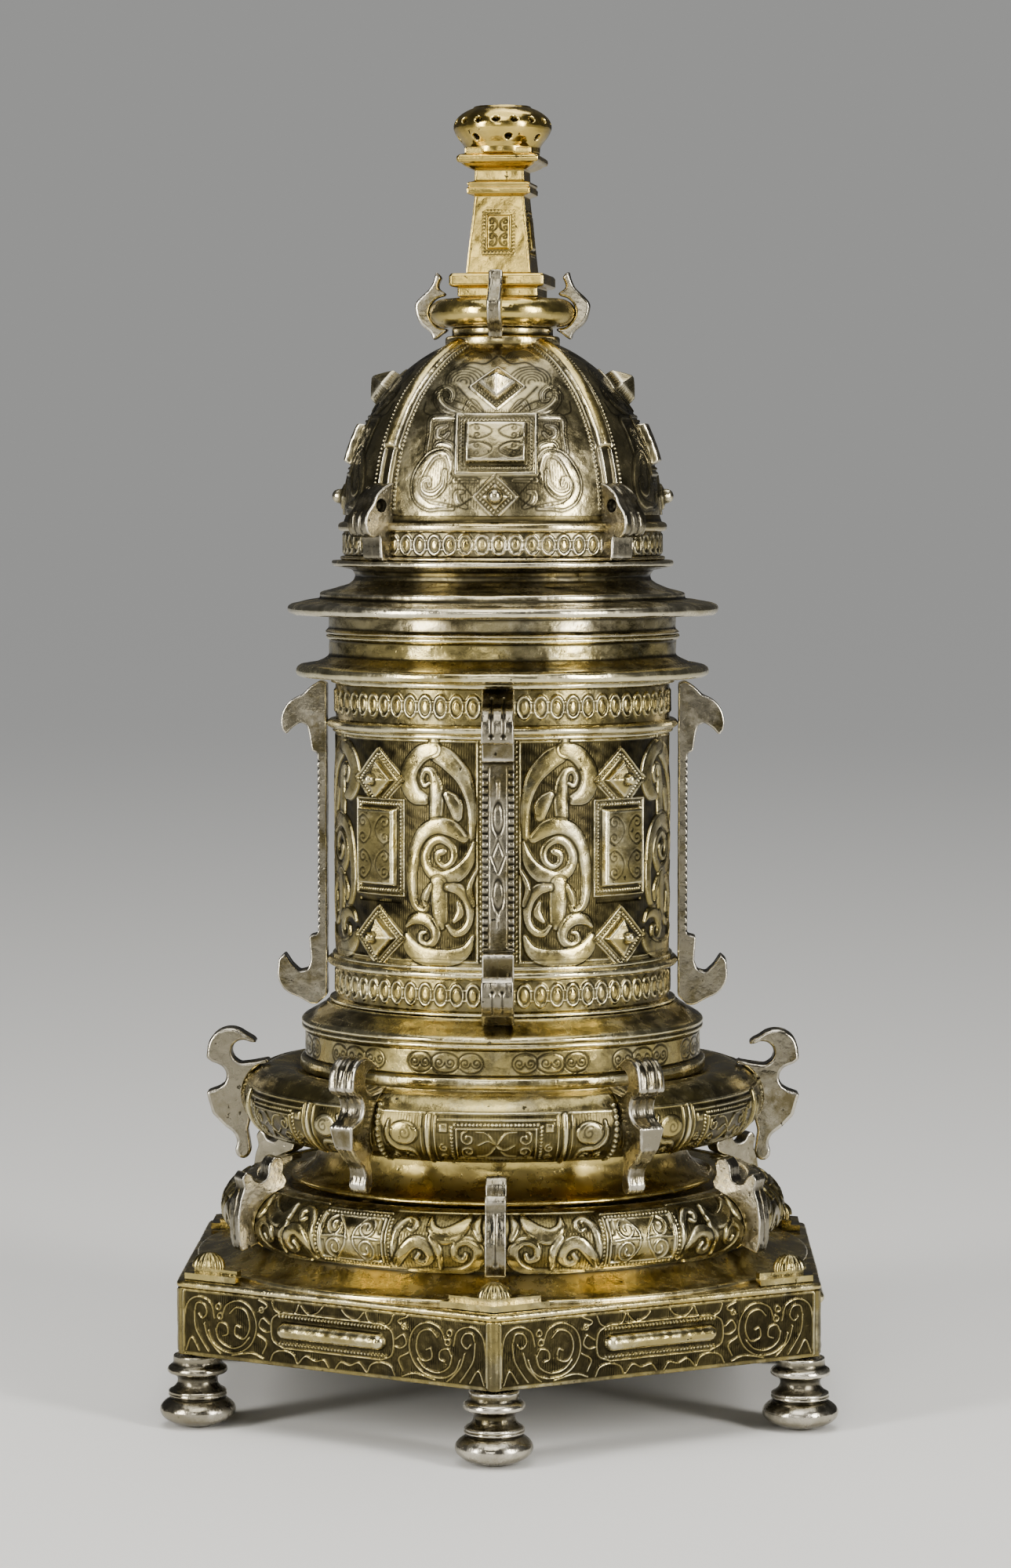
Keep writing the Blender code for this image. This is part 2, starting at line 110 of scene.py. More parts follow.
def side_outline(node, azimuth):
    """The outline (radius, height) of an extruded node's flat side, in order, and the node's width."""
    points, triangles = local_points(node, azimuth)
    width = np.ptp(points[:, 1])
    on_side = points[:, 1] > points[:, 1].max() - 0.01
    ends = {}
    for triangle in triangles[on_side[triangles].all(axis=1)]:
        keys = [tuple(np.round(points[i, [0, 2]], 2)) for i in triangle]
        for a, b in zip(keys, keys[1:] + keys[:1]):
            if (b, a) in ends:
                del ends[(b, a)]
            else:
                ends[(a, b)] = True
    follow = dict(ends.keys())
    start = min(follow)
    loop, here = [start], follow[start]
    while here != start and len(loop) < 400:
        loop.append(here)
        here = follow[here]
    return np.array(loop), width


# Outlines


def bell(distance, width):
    return np.exp(-((distance / width) ** 2))


def lengths_of(line):
    """How far along a line each of its points lies."""
    return np.concatenate([[0], np.cumsum(np.linalg.norm(np.diff(line, axis=0), axis=1))])


def points_at(line, lengths, places):
    return np.stack([np.interp(places, lengths, line[:, i]) for i in range(line.shape[1])], axis=1)


def even(line, step, rounds=0):
    """An open line with points an even step apart and worn corners, and how far along it each point lies."""
    line = np.asarray(line, float)
    lengths = lengths_of(line)
    places = np.linspace(0, lengths[-1], max(3, int(lengths[-1] / step)))
    line = points_at(line, lengths, places)
    for _ in range(rounds):
        line[1:-1] = 0.25 * line[:-2] + 0.5 * line[1:-1] + 0.25 * line[2:]
    return line, places


def softened(loop, step, rounds):
    """A closed line with points an even step apart and its corners worn round, run counter-clockwise."""
    closed = np.vstack([loop, loop[:1]])
    lengths = lengths_of(closed)
    places = np.linspace(0, lengths[-1], max(8, int(lengths[-1] / step)), endpoint=False)
    line = points_at(closed, lengths, places)
    for _ in range(rounds):
        line = 0.25 * np.roll(line, 1, axis=0) + 0.5 * line + 0.25 * np.roll(line, -1, axis=0)
    area = np.sum(line[:, 0] * np.roll(line[:, 1], -1) - np.roll(line[:, 0], -1) * line[:, 1])
    return line[::-1] if area < 0 else line


def arc(centre, radii, start, end, steps=16):
    """Points on an ellipse, from one angle to another in degrees."""
    angles = np.radians(np.linspace(start, end, steps + 1))
    return [(centre[0] + radii[0] * math.cos(a), centre[1] + radii[1] * math.sin(a)) for a in angles]


def normals_of(line, closed=True):
    """Unit normals of a line in the (radius, height) plane, on its right-hand side."""
    if closed:
        along = np.roll(line, -1, axis=0) - np.roll(line, 1, axis=0)
    else:
        along = np.gradient(line, axis=0)
    normal = np.stack([along[:, 1], -along[:, 0]], axis=1)
    return normal / np.maximum(np.linalg.norm(normal, axis=1, keepdims=True), 1e-9)


def wear_of(line, normal, reach=8, size=0.14):
    """Layers for a swept line: hollows are painted darker and edges rubbed."""
    around = line.copy()
    for _ in range(reach):
        around[1:-1] = (around[:-2] + around[1:-1] + around[2:]) / 3
    proud = np.sum((line - around) * normal, axis=1)[:, None] / size
    return {"dark": 0.95 * np.clip(-proud - 0.1, 0, 1), "worn": np.clip(proud, 0, 1)}


# Meshes


def swept(radius, angles, height):
    """The points at these radii, angles and heights about the tower's axis."""
    x = radius * np.cos(angles)
    return np.stack([x, radius * np.sin(angles), np.broadcast_to(height, x.shape)], axis=-1)


def surface(name, grid, closed_u=False, closed_v=False, **layers):
    """A mesh over a grid of points in millimetres, with paint layers; u runs along a row of the grid."""
    rows, columns = grid.shape[:2]
    index = np.arange(rows * columns).reshape(rows, columns)
    if closed_u:
        index = np.hstack([index, index[:, :1]])
    if closed_v:
        index = np.vstack([index, index[:1]])
    quads = np.stack([index[:-1, :-1], index[:-1, 1:], index[1:, 1:], index[1:, :-1]], axis=-1).reshape(-1, 4)
    mesh = bpy.data.meshes.new(name)
    mesh.vertices.add(rows * columns)
    mesh.vertices.foreach_set("co", (grid * MM).astype(np.float32).ravel())
    mesh.loops.add(quads.size)
    mesh.loops.foreach_set("vertex_index", quads.astype(np.int32).ravel())
    mesh.polygons.add(len(quads))
    mesh.polygons.foreach_set("loop_start", np.arange(0, quads.size, 4, dtype=np.int32))
    mesh.update(calc_edges=True)
    for key, values in layers.items():
        values = np.broadcast_to(values, (rows, columns)).astype(np.float32)
        mesh.attributes.new(key, "FLOAT", "POINT").data.foreach_set("value", values.ravel())
    mesh.shade_smooth()
    return mesh


def placed(name, mesh, finish, nodes=(), azimuth=None):
    """An object for the mesh, turned to its azimuth, that rides on a body and stands for CAD nodes."""
    body, slot, material = finish
    if not mesh.materials:
        mesh.materials.append(material)
    obj = bpy.data.objects.new(name, mesh)
    bpy.context.scene.collection.objects.link(obj)
    if azimuth is not None:
        obj.rotation_euler.z = math.radians(azimuth) + FRONT
    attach(obj, body)
    if nodes:
        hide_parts(*nodes)
    return obj


WAVES = ((3, 31.0, 1.0), (7, 17.0, 0.7), (13, 9.0, 0.5), (23, 5.3, 0.35))  # turns, length, share


def unevenness(angle, along, size):
    """A hand-made surface's slow waver, in millimetres."""
    waver = np.zeros(np.broadcast(angle, along).shape)
    for turns, length, share in WAVES:
        phase = random.uniform(0, math.tau, 2)
        wave = np.sin(turns * angle + phase[0]) * np.sin(math.tau * along / length + phase[1])
        waver = waver + share * wave
    return size * waver


def turned(
    name, outline, finish, nodes=(), segments=ROUND_SEGMENTS, step=0.3, rounds=2, waver=0.05, gold=0.0
):
    """A ring or a round body from a closed (radius, height) outline."""
    line = softened(outline, step, rounds)
    angles = np.linspace(0, math.tau, segments, endpoint=False)
    lift = unevenness(angles[None, :], np.arange(len(line))[:, None] * step, waver)
    normal = normals_of(line)
    grid = swept(line[:, :1] + normal[:, :1] * lift, angles, line[:, 1:] + normal[:, 1:] * lift)
    mesh = surface(name, grid, closed_u=True, closed_v=True, gold=gold, **wear_of(line, normal))
    return placed(name, mesh, finish, nodes)


def turned_solid(name, outline, centre, finish, nodes, segments=96, step=0.3):
    """A solid turned piece from an open outline that starts and ends on its own axis."""
    line, along = even(outline, step, 3)
    angles = np.linspace(0, math.tau, segments, endpoint=False)
    lift = unevenness(angles[None, :], along[:, None], 0.04) * (line[:, :1] > 1.0)
    grid = swept(line[:, :1] + lift, angles, line[:, 1:]) + [*centre, 0.0]
    wear = {key: values[1:-1] for key, values in wear_of(line, normals_of(line, closed=False)).items()}
    mesh = surface(name, grid[1:-1], closed_u=True, **wear)
    closed_ends(mesh, segments)
    return placed(name, mesh, finish, nodes)


def closed_ends(mesh, segments):
    """Adds a flat cap to both ends of a tube of stacked rings."""
    bm = bmesh.new()
    bm.from_mesh(mesh)
    bm.verts.ensure_lookup_table()
    count = len(bm.verts)
    bm.faces.new([bm.verts[i] for i in range(segments - 1, -1, -1)])
    bm.faces.new([bm.verts[i] for i in range(count - segments, count)])
    bm.to_mesh(mesh)
    bm.free()
    mesh.shade_smooth()


def round_sheet(line, angles):
    """Points and normals where an open (radius, height) line is swept through the angles."""
    normal = normals_of(line, closed=False)
    return swept(line[:, :1], angles, line[:, 1:]), swept(normal[:, :1], angles, normal[:, 1:])


def open_turned(name, line, finish, nodes=(), step=0.4, rounds=2, worn=0.0, gold=0.0):
    """A sheet swept all the way round from an open (radius, height) line."""
    line, along = even(line, step, rounds)
    angles = np.linspace(0, math.tau, ROUND_SEGMENTS, endpoint=False)
    points, normals = round_sheet(line, angles)
    lift = unevenness(angles[None, :], along[:, None], 0.05)
    wear = wear_of(line, normals_of(line, closed=False))
    wear["worn"] = np.maximum(wear["worn"], worn)
    mesh = surface(name, points + normals * lift[..., None], closed_u=True, gold=gold, **wear)
    return placed(name, mesh, finish, nodes)


# Relief: heights worked into a sheet, over points given in millimetres


def eased(x):
    """A soft step from 0 to 1."""
    x = np.clip(x, 0, 1)
    return x * x * (3 - 2 * x)


def curve(points, per=6):
    """A smooth line through the points; a third column, the half width, comes along."""
    p = np.asarray(points, float)
    p = np.vstack([2 * p[0] - p[1], p, 2 * p[-1] - p[-2]])
    w = np.linspace(0, 1, per, endpoint=False)[:, None]
    parts = [
        0.5 * (2 * b + (c - a) * w + (2 * a - 5 * b + 4 * c - d) * w**2 + (3 * b - a - 3 * c + d) * w**3)
        for a, b, c, d in zip(p, p[1:], p[2:], p[3:])
    ]
    return np.vstack(parts + [p[-2:-1]])


def spiral(centre, radius, start, turns, width=(0.8, 0.4), inner=0.22, steps=26):
    """A line that winds into its centre; positive turns run counter-clockwise."""
    share = np.linspace(0, 1, steps)
    angle = np.radians(start) + math.tau * turns * share
    r = radius * (1 - share * (1 - inner))
    half = width[0] + (width[1] - width[0]) * share
    return np.stack([centre[0] + r * np.cos(angle), centre[1] + r * np.sin(angle), half], axis=1)


def mirrored(line, side):
    """The line itself for side 1, and its mirror image for side -1."""
    return np.asarray(line, float) * np.array([side, 1.0, 1.0][: np.shape(line)[1]])


def border(centre, half, slant=False):
    """The closed outline of a rectangle, or of a diamond when slanted."""
    (x, y), (a, b) = centre, half
    if slant:
        return [(x - a, y), (x, y - b), (x + a, y), (x, y + b), (x - a, y)]
    return [(x - a, y - b), (x + a, y - b), (x + a, y + b), (x - a, y + b), (x - a, y - b)]


class Relief:
    """A sheet being embossed: its height over each point, and where it is dark, hatched or golden."""

    def __init__(self, s, t):
        self.s, self.t = (np.array(a) for a in np.broadcast_arrays(s, t))
        self.height = np.zeros(self.s.shape)
        self.dark = np.zeros(self.s.shape)
        self.ground = np.zeros(self.s.shape)
        self.gold = np.zeros(self.s.shape)

    def lift(self, where, level):
        self.height[where] = np.maximum(self.height[where], level)

    # Darkens points: used both for dirt and for painted shade
    def soil_and_shade(self, where, share, clean=0.0):
        self.dark[where] = np.maximum(self.dark[where] * (1 - clean), share)

    def near(self, low, high, margin):
        """The points inside a box that is grown by a margin."""
        inside = (self.s > low[0] - margin) & (self.s < high[0] + margin)
        return np.nonzero(inside & (self.t > low[1] - margin) & (self.t < high[1] + margin))

    def from_line(self, line, margin=1.2):
        """The points near a line, and their distances outside its edge."""
        line = np.asarray(line, float)
        half = line[:, 2]
        where = self.near(line[:, :2].min(0), line[:, :2].max(0), half.max() + margin)
        s, t = self.s[where], self.t[where]
        best = np.full(s.shape, 99.0)
        for a, b in zip(line, line[1:]):
            run = b[:2] - a[:2]
            share = np.clip(((s - a[0]) * run[0] + (t - a[1]) * run[1]) / max(run @ run, 1e-9), 0, 1)
            gap = np.hypot(s - a[0] - share * run[0], t - a[1] - share * run[1])
            best = np.minimum(best, gap - a[2] - share * (b[2] - a[2]))
        return where, best

    def from_box(self, centre, half, slant=False, margin=1.5):
        """The points near a rectangle, or a diamond when slanted, and their distances outside it."""
        where = self.near(np.subtract(centre, half), np.add(centre, half), margin)
        x, y = np.abs(self.s[where] - centre[0]), np.abs(self.t[where] - centre[1])
        if slant:
            slope = half[0] * half[1] / math.hypot(*half)
            return where, (x / half[0] + y / half[1] - 1) * slope
        dx, dy = x - half[0], y - half[1]
        return where, np.where((dx > 0) & (dy > 0), np.hypot(dx, dy), np.maximum(dx, dy))

    def from_oval(self, centre, half, margin=1.2):
        """The points near an oval, and roughly their distances outside it."""
        where = self.near(np.subtract(centre, half), np.add(centre, half), margin)
        x, y = (self.s[where] - centre[0]) / half[0], (self.t[where] - centre[1]) / half[1]
        return where, (np.hypot(x, y) - 1) * min(half)

    def raise_(self, found, high, edge=0.4, outline=0.12, round_=0.12):
        """Lifts what lies inside, with a soft edge, an engraved outline and a painted shadow, with patina,
        round its foot.
        """
        where, gap = found
        inside = eased(-gap / edge)
        level = high * (inside * (1 - round_) + round_ * eased(-gap / 2.2))
        self.lift(where, level)
        self.ground[where] *= 1 - eased(0.15 - gap / 0.3)
        line = bell(gap + edge + 0.22, 0.2)
        self.height[where] -= outline * line
        # A painted shadow, with patina, round the foot of the raised work
        foot = bell(gap - 0.2, 0.44)
        self.soil_and_shade(where, np.maximum(0.95 * foot, 3.0 * outline * line), inside)

    def engrave(self, line, deep=0.13, width=0.16, dark=0.8, spread=1.5):
        """Cuts a groove, with a dark stain that spreads past its edges."""
        where, gap = self.from_line(np.column_stack([np.asarray(line)[:, :2], np.zeros(len(line))]), 0.8)
        groove = bell(gap, width)
        self.height[where] -= deep * groove
        self.soil_and_shade(where, dark * bell(gap / width, spread))

    def ridge(self, line, half=0.4, high=0.45, gold=0.0):
        """A thin raised cord."""
        where, gap = self.from_line(np.column_stack([np.asarray(line)[:, :2], np.full(len(line), half)]), 0.8)
        inside = eased(-gap / half)
        self.lift(where, high * np.sqrt(inside))
        # A painted shadow along the cord's foot
        self.soil_and_shade(where, 0.7 * bell(gap - 0.18, 0.2), inside)
        self.ground[where] *= 1 - inside
        self.gold[where] = np.maximum(self.gold[where], gold * inside)

    def beads(self, line, pitch=1.1, radius=0.45, high=0.4, dull=0.25):
        """A row of small balls along a line."""
        line = np.asarray(line, float)[:, :2]
        lengths = lengths_of(line)
        places = np.linspace(0, lengths[-1], max(2, int(round(lengths[-1] / pitch)) + 1))
        for s, t in points_at(line, lengths, places):
            where = self.near((s, t), (s, t), radius + 0.5)
            gap = np.hypot(self.s[where] - s, self.t[where] - t)
            ball = np.sqrt(np.clip(1 - (gap / radius) ** 2, 0, 1))
            self.lift(where, high * ball)
            # A painted shadow round each bead's foot
            self.soil_and_shade(where, 0.75 * (gap < radius + 0.35))
            self.dark[where] = np.where(ball > 0.25, dull, self.dark[where])
            self.ground[where] *= ball <= 0

    def plaque(self, centre, half, high, bevel=1.0):
        """A flat raised tablet with sloping edges."""
        where, gap = self.from_box(centre, half)
        self.lift(where, high * np.clip(-gap / bevel, 0, 1))
        inside = eased(0.3 - gap / 0.3)
        self.ground[where] *= 1 - inside
        # A painted shadow round the tablet's foot
        self.soil_and_shade(where, 0.8 * bell(gap - 0.2, 0.3), inside)

    def field(self, found, dark, wiped=False):
        """Levels a field and frees it of hatching; wiping takes away the dirt and the painted shade that lie
        in it.
        """
        where, gap = found
        inside = gap < 0
        self.ground[where] *= gap > 0
        self.height[where] = np.where(inside, 0.0, self.height[where])
        self.soil_and_shade(where, dark * inside, inside * wiped)

    def stud(self, centre, half, high, ball=0.0):
        """A pyramid on a diamond base, with a ball on its point."""
        where, gap = self.from_box(centre, half, True)
        slope = half[0] * half[1] / math.hypot(*half)
        level = high * (0.36 * np.clip(-gap / 0.45, 0, 1) + 0.64 * np.clip(-gap / slope * 1.08, 0, 1))
        if ball:
            reach = np.hypot(self.s[where] - centre[0], self.t[where] - centre[1])
            dome = high + np.sqrt(np.clip(ball**2 - reach**2, 0, None))
            level = np.where(reach < ball, np.maximum(level, dome), level)
            # A painted shadow round the ball's foot
            self.soil_and_shade(where, 0.5 * bell(reach - ball - 0.15, 0.25))
        self.lift(where, level)
        self.ground[where] *= gap > 0
        self.dark[where] = np.where(gap < -0.3, self.dark[where] * 0.3, self.dark[where])
        # A painted shadow round the pyramid's foot
        self.soil_and_shade(where, 0.8 * bell(gap - 0.15, 0.25))

    def hatch(self, every=3, deep=0.07):
        """Cuts the ground with upright strokes, and leaves a fine lighter line between them."""
        lines = (np.arange(self.s.shape[1]) % every == 0)[None, :]
        waver = 0.6 + 0.4 * np.sin(self.t * 1.7 + self.s * 0.9)
        left = self.ground * lines * waver
        self.height += deep * left
        self.ground = self.ground * (1 - 0.22 * lines * waver)

    def strokes(self, every=3, length=2.6, left=0.15):
        """Fills the ground with short upright dark cuts, and leaves the metal between them brighter."""
        column = np.arange(self.s.shape[1])[None, :]
        phase = (self.t / length + 0.37 * (column // every) + 0.12 * np.sin(0.8 * self.t + column)) % 1.0
        cuts = self.ground * (column % every == 0) * (phase < 0.82)
        self.height -= 0.06 * cuts
        self.dark = np.maximum(self.dark, 0.95 * cuts)
        self.ground = self.ground * left

    def layers(self):
        """Adds wear: what stands above its surroundings is rubbed, and what lies below them is painted
        darker.
        """
        around = self.height
        for _ in range(5):
            for axis in (0, 1):
                around = (np.roll(around, 1, axis) + around + np.roll(around, -1, axis)) / 3
        proud = np.clip((self.height - around) / 0.22, -1, 1)
        worn = np.clip(proud, 0, 1)
        # Hollows below their surroundings are painted darker
        dark = np.maximum(self.dark, 0.9 * np.clip(-proud, 0, 1) * (1 - 0.7 * worn))
        dark = np.clip(dark, 0, 1)
        return {"dark": dark, "ground": self.ground, "gold": self.gold, "worn": worn * (1 - self.dark)}


# Ornaments


# A C-scroll's back, in shares of its width and height
SCROLL_BACK = ((1, 0.75), (0.3, 1), (-0.55, 0.6), (-0.9, 0), (-0.55, -0.6), (0.3, -1), (1, -0.75))


def scroll_tablet(relief, centre, half):
    """Four fine C-scrolls, back to back, engraved on a tablet."""
    for i in (-1, 1):
        for j in (-1, 1):
            cs, ct = centre[0] + i * half[0] * 0.5, centre[1] + j * half[1] * 0.48
            w, h = half[0] * 0.42, half[1] * 0.40
            back = [(cs + i * w * across, ct + h * up) for across, up in SCROLL_BACK]
            relief.engrave(curve(back), 0.10, 0.18, 0.85)
            for k in (-1, 1):
                eye = (cs + i * w * 0.35, ct + k * h * 0.52)
                relief.engrave(spiral(eye, h * 0.42, 90 * k, -k * i * 1.1, steps=16), 0.10, 0.18, 0.85)


PANEL_LOW, PANEL_HIGH, PANEL_EDGE = 140.6, 207.2, 34.4
TABLET = (0, 174.5)
CHAMBER_STRAPS = (
    [(20.7, 206.8, 1.3), (21.2, 204.0, 1.9), (25.4, 201.4, 2.2), (30.0, 196.5, 1.9), (32.3, 190.0, 1.3),
     (32.9, 183.5, 1.0), (32.7, 178.0, 0.8)],
    [(20.7, 204.6, 1.7), (16.4, 203.0, 2.0), (12.9, 199.0, 2.1), (12.2, 194.8, 2.2), (14.2, 190.8, 2.0),
     (17.8, 189.4, 1.2)],
    [(21.3, 183.9, 1.5), (21.6, 189.0, 1.6), (21.4, 194.0, 1.4), (20.2, 197.6, 1.0), (17.9, 198.2, 0.8),
     (16.7, 196.0, 0.7), (17.6, 193.7, 0.6), (19.2, 194.4, 0.5)],
    [(28.2, 184.6, 1.2), (27.4, 188.2, 1.7), (25.0, 191.0, 0.9)],
    [(30.2, 178.2, 1.2), (26.4, 180.8, 1.8), (22.2, 181.6, 1.8), (17.9, 179.8, 1.7), (15.0, 175.6, 1.5),
     (13.6, 169.6, 1.3), (13.3, 163.0, 1.2), (14.4, 157.6, 1.0), (17.2, 155.6, 0.8), (18.6, 157.4, 0.5)],
    [(33.4, 176.8, 0.5), (31.6, 170.9, 1.4), (27.8, 167.0, 1.8), (23.0, 165.9, 1.6), (19.0, 168.4, 1.2),
     (17.8, 172.4, 1.1), (19.8, 176.3, 1.0), (23.2, 177.5, 0.9), (26.6, 175.2, 0.8), (26.9, 171.6, 0.8),
     (24.6, 169.5, 0.7), (22.2, 170.6, 0.6), (22.0, 173.0, 0.9), (23.8, 173.9, 0.8)],
    [(22.3, 163.9, 2.0), (22.5, 158.0, 1.9), (22.7, 152.2, 1.6)],
    [(25.4, 163.2, 0.9), (29.0, 162.4, 1.3), (31.6, 159.0, 1.2), (32.1, 153.8, 0.9), (30.3, 150.2, 0.9),
     (27.3, 149.3, 0.8), (25.2, 151.4, 0.5)],
    [(28.4, 158.6, 0.5), (29.0, 155.4, 1.0), (27.3, 153.0, 0.6)],
    [(19.6, 163.6, 0.6), (18.0, 160.4, 1.0), (17.6, 157.6, 0.5)],
    [(11.4, 151.0, 0.5), (13.9, 153.2, 1.2), (17.8, 153.2, 1.4), (20.7, 150.8, 1.3), (21.0, 147.4, 1.1),
     (18.6, 145.4, 1.0), (16.3, 146.4, 0.8), (16.3, 148.8, 0.7), (18.0, 149.4, 0.5)],
    [(33.0, 148.4, 0.5), (31.0, 144.2, 1.3), (27.2, 142.2, 1.8), (22.0, 141.9, 1.9), (16.8, 142.3, 2.1),
     (12.9, 144.6, 1.8), (11.2, 147.8, 0.9)],
    [(34.0, 168.0, 0.5), (32.0, 163.0, 0.7), (33.4, 158.0, 0.5)],
)


def panel_relief(s, t):
    """A side of the chamber: a tablet between two studs, with scrolled strapwork left and right."""
    r = Relief(s, t)
    upright = eased((t - PANEL_LOW) / 0.3) * eased((PANEL_HIGH - t) / 0.3)
    r.ground[:] = eased((34.3 - np.abs(r.s)) / 0.3) * upright
    r.height[:] = -0.45 * r.ground
    for side in (-1, 1):
        for line in CHAMBER_STRAPS:
            r.raise_(r.from_line(curve(mirrored(line, side)) * (1, 1, 1.42)), 0.8)
        r.ridge([(side * PANEL_EDGE, PANEL_LOW), (side * PANEL_EDGE, PANEL_HIGH)], 0.5, 0.3)
        r.beads([(side * 35.4, 141), (side * 35.4, 207)], 1.5, 0.4, 0.25)
    for z in (PANEL_LOW + 0.1, PANEL_HIGH - 0.1):
        r.ridge([(-PANEL_EDGE, z), (PANEL_EDGE, z)], 0.5, 0.3)
    for z in (194.9, 146.9):
        r.field(r.from_box((0, z), (11.0, 9.8), True), 0.35)
        r.ridge(border((0, z), (10.8, 9.6), True), 0.42, 0.55)
        r.beads(border((0, z), (9.0, 8.0), True), 1.15, 0.48, 0.5)
        r.ridge(border((0, z), (7.6, 6.7), True), 0.3, 0.35)
        r.stud((0, z), (6.8, 6.1), 4.2, 1.7)
    r.field(r.from_box(TABLET, (10.6, 14.6)), 0.3)
    r.ridge(border(TABLET, (10.5, 14.5)), 0.45, 0.55)
    r.beads(border(TABLET, (9.1, 13.1)), 1.1, 0.48, 0.5)
    r.plaque(TABLET, (7.9, 11.9), 2.5, 0.7)
    scroll_tablet(r, TABLET, (7.0, 11.0))
    r.hatch()
    return r


def frieze_relief(s, t, middle, count, around, tall):
    """A row of upright framed ovals, joined by small bars."""
    r = Relief(s, t)
    pitch = around / count
    r.dark[:] = 0.55
    for i in range(count):
        x = (i + 0.5) * pitch - around / 2
        where, gap = r.from_oval((x, middle), (pitch * 0.40, tall))
        rim = bell(gap, 0.30)
        heart = eased((-gap - 0.55) / 0.8)
        r.lift(where, 0.55 * rim + 0.42 * heart)
        r.gold[where] = np.maximum(r.gold[where], heart)
        r.soil_and_shade(where, 0.75 * (np.abs(gap + 0.5) < 0.2), np.maximum(rim, heart))
        for z in (middle - tall * 0.5, middle + tall * 0.5):
            r.ridge([(x + pitch * 0.38, z), (x + pitch * 0.62, z)], 0.3, 0.45)
    return r


DOME_FIELDS = (
    ((16.4, 297.6), (3.9, 5.9)), ((6.0, 305.0), (6.0, 1.7)),
    ((9.2, 281.0), (5.2, 5.0)), ((18.6, 285.2), (3.2, 5.8)),
)
DOME_LINES = (
    [(2.4, 304.0), (8.0, 308.8), (12.2, 313.0)], [(5.0, 303.8), (9.6, 307.6), (13.4, 309.0)],
    [(20.8, 304.4), (23.4, 305.6), (23.0, 308.6)], [(0.5, 322.6), (4.0, 320.2), (8.6, 320.6), (13.0, 318.0)],
    [(6.6, 279.9), (10.6, 284.4), (13.6, 287.0)], [(6.6, 279.9), (10.4, 277.4), (14.0, 276.8)],
)
DOME_STRAPS = (
    [(7.5, 304.2, 0.8), (11.0, 304.8, 1.1), (15.5, 306.0, 1.5), (18.4, 308.6, 1.4), (18.6, 311.6, 1.1),
     (16.2, 312.8, 0.9), (14.0, 311.2, 0.8), (14.4, 308.9, 0.7), (16.0, 309.2, 0.5)],
    [(4.5, 305.6, 0.4), (7.6, 308.4, 0.9), (9.6, 306.2, 0.5)],
    [(12.5, 303.6, 0.9), (16.5, 303.7, 1.0), (20.4, 303.2, 1.0), (20.9, 299.0, 0.9), (21.6, 292.4, 0.9),
     (19.4, 291.9, 0.7)],
    [(15.4, 301.2, 0.6), (18.0, 300.4, 1.0), (18.3, 298.2, 0.9), (16.2, 297.6, 0.7), (14.6, 299.0, 0.5)],
    [(13.4, 291.4, 0.7), (13.8, 295.0, 1.2), (17.6, 295.8, 1.1), (19.2, 293.8, 0.7)],
    [(14.2, 284.8, 0.8), (13.4, 289.4, 1.3), (15.4, 293.0, 1.3), (19.6, 292.4, 1.5), (23.0, 288.6, 1.9),
     (25.0, 284.0, 2.0), (24.4, 279.8, 1.8), (21.0, 277.3, 1.5), (17.2, 277.0, 1.0), (13.0, 276.6, 0.6)],
    [(15.5, 287.6, 0.6), (16.2, 283.2, 1.0), (19.4, 280.6, 1.2), (22.8, 281.6, 1.0), (23.1, 284.4, 0.8),
     (21.0, 285.2, 0.7), (20.6, 283.4, 0.5)],
    [(5.6, 284.9, 0.5), (9.0, 284.9, 0.6), (12.2, 284.8, 0.6)],
    [(8.8, 276.8, 0.4), (11.2, 278.4, 0.9), (11.6, 281.0, 0.7), (9.8, 281.4, 0.4)],
)


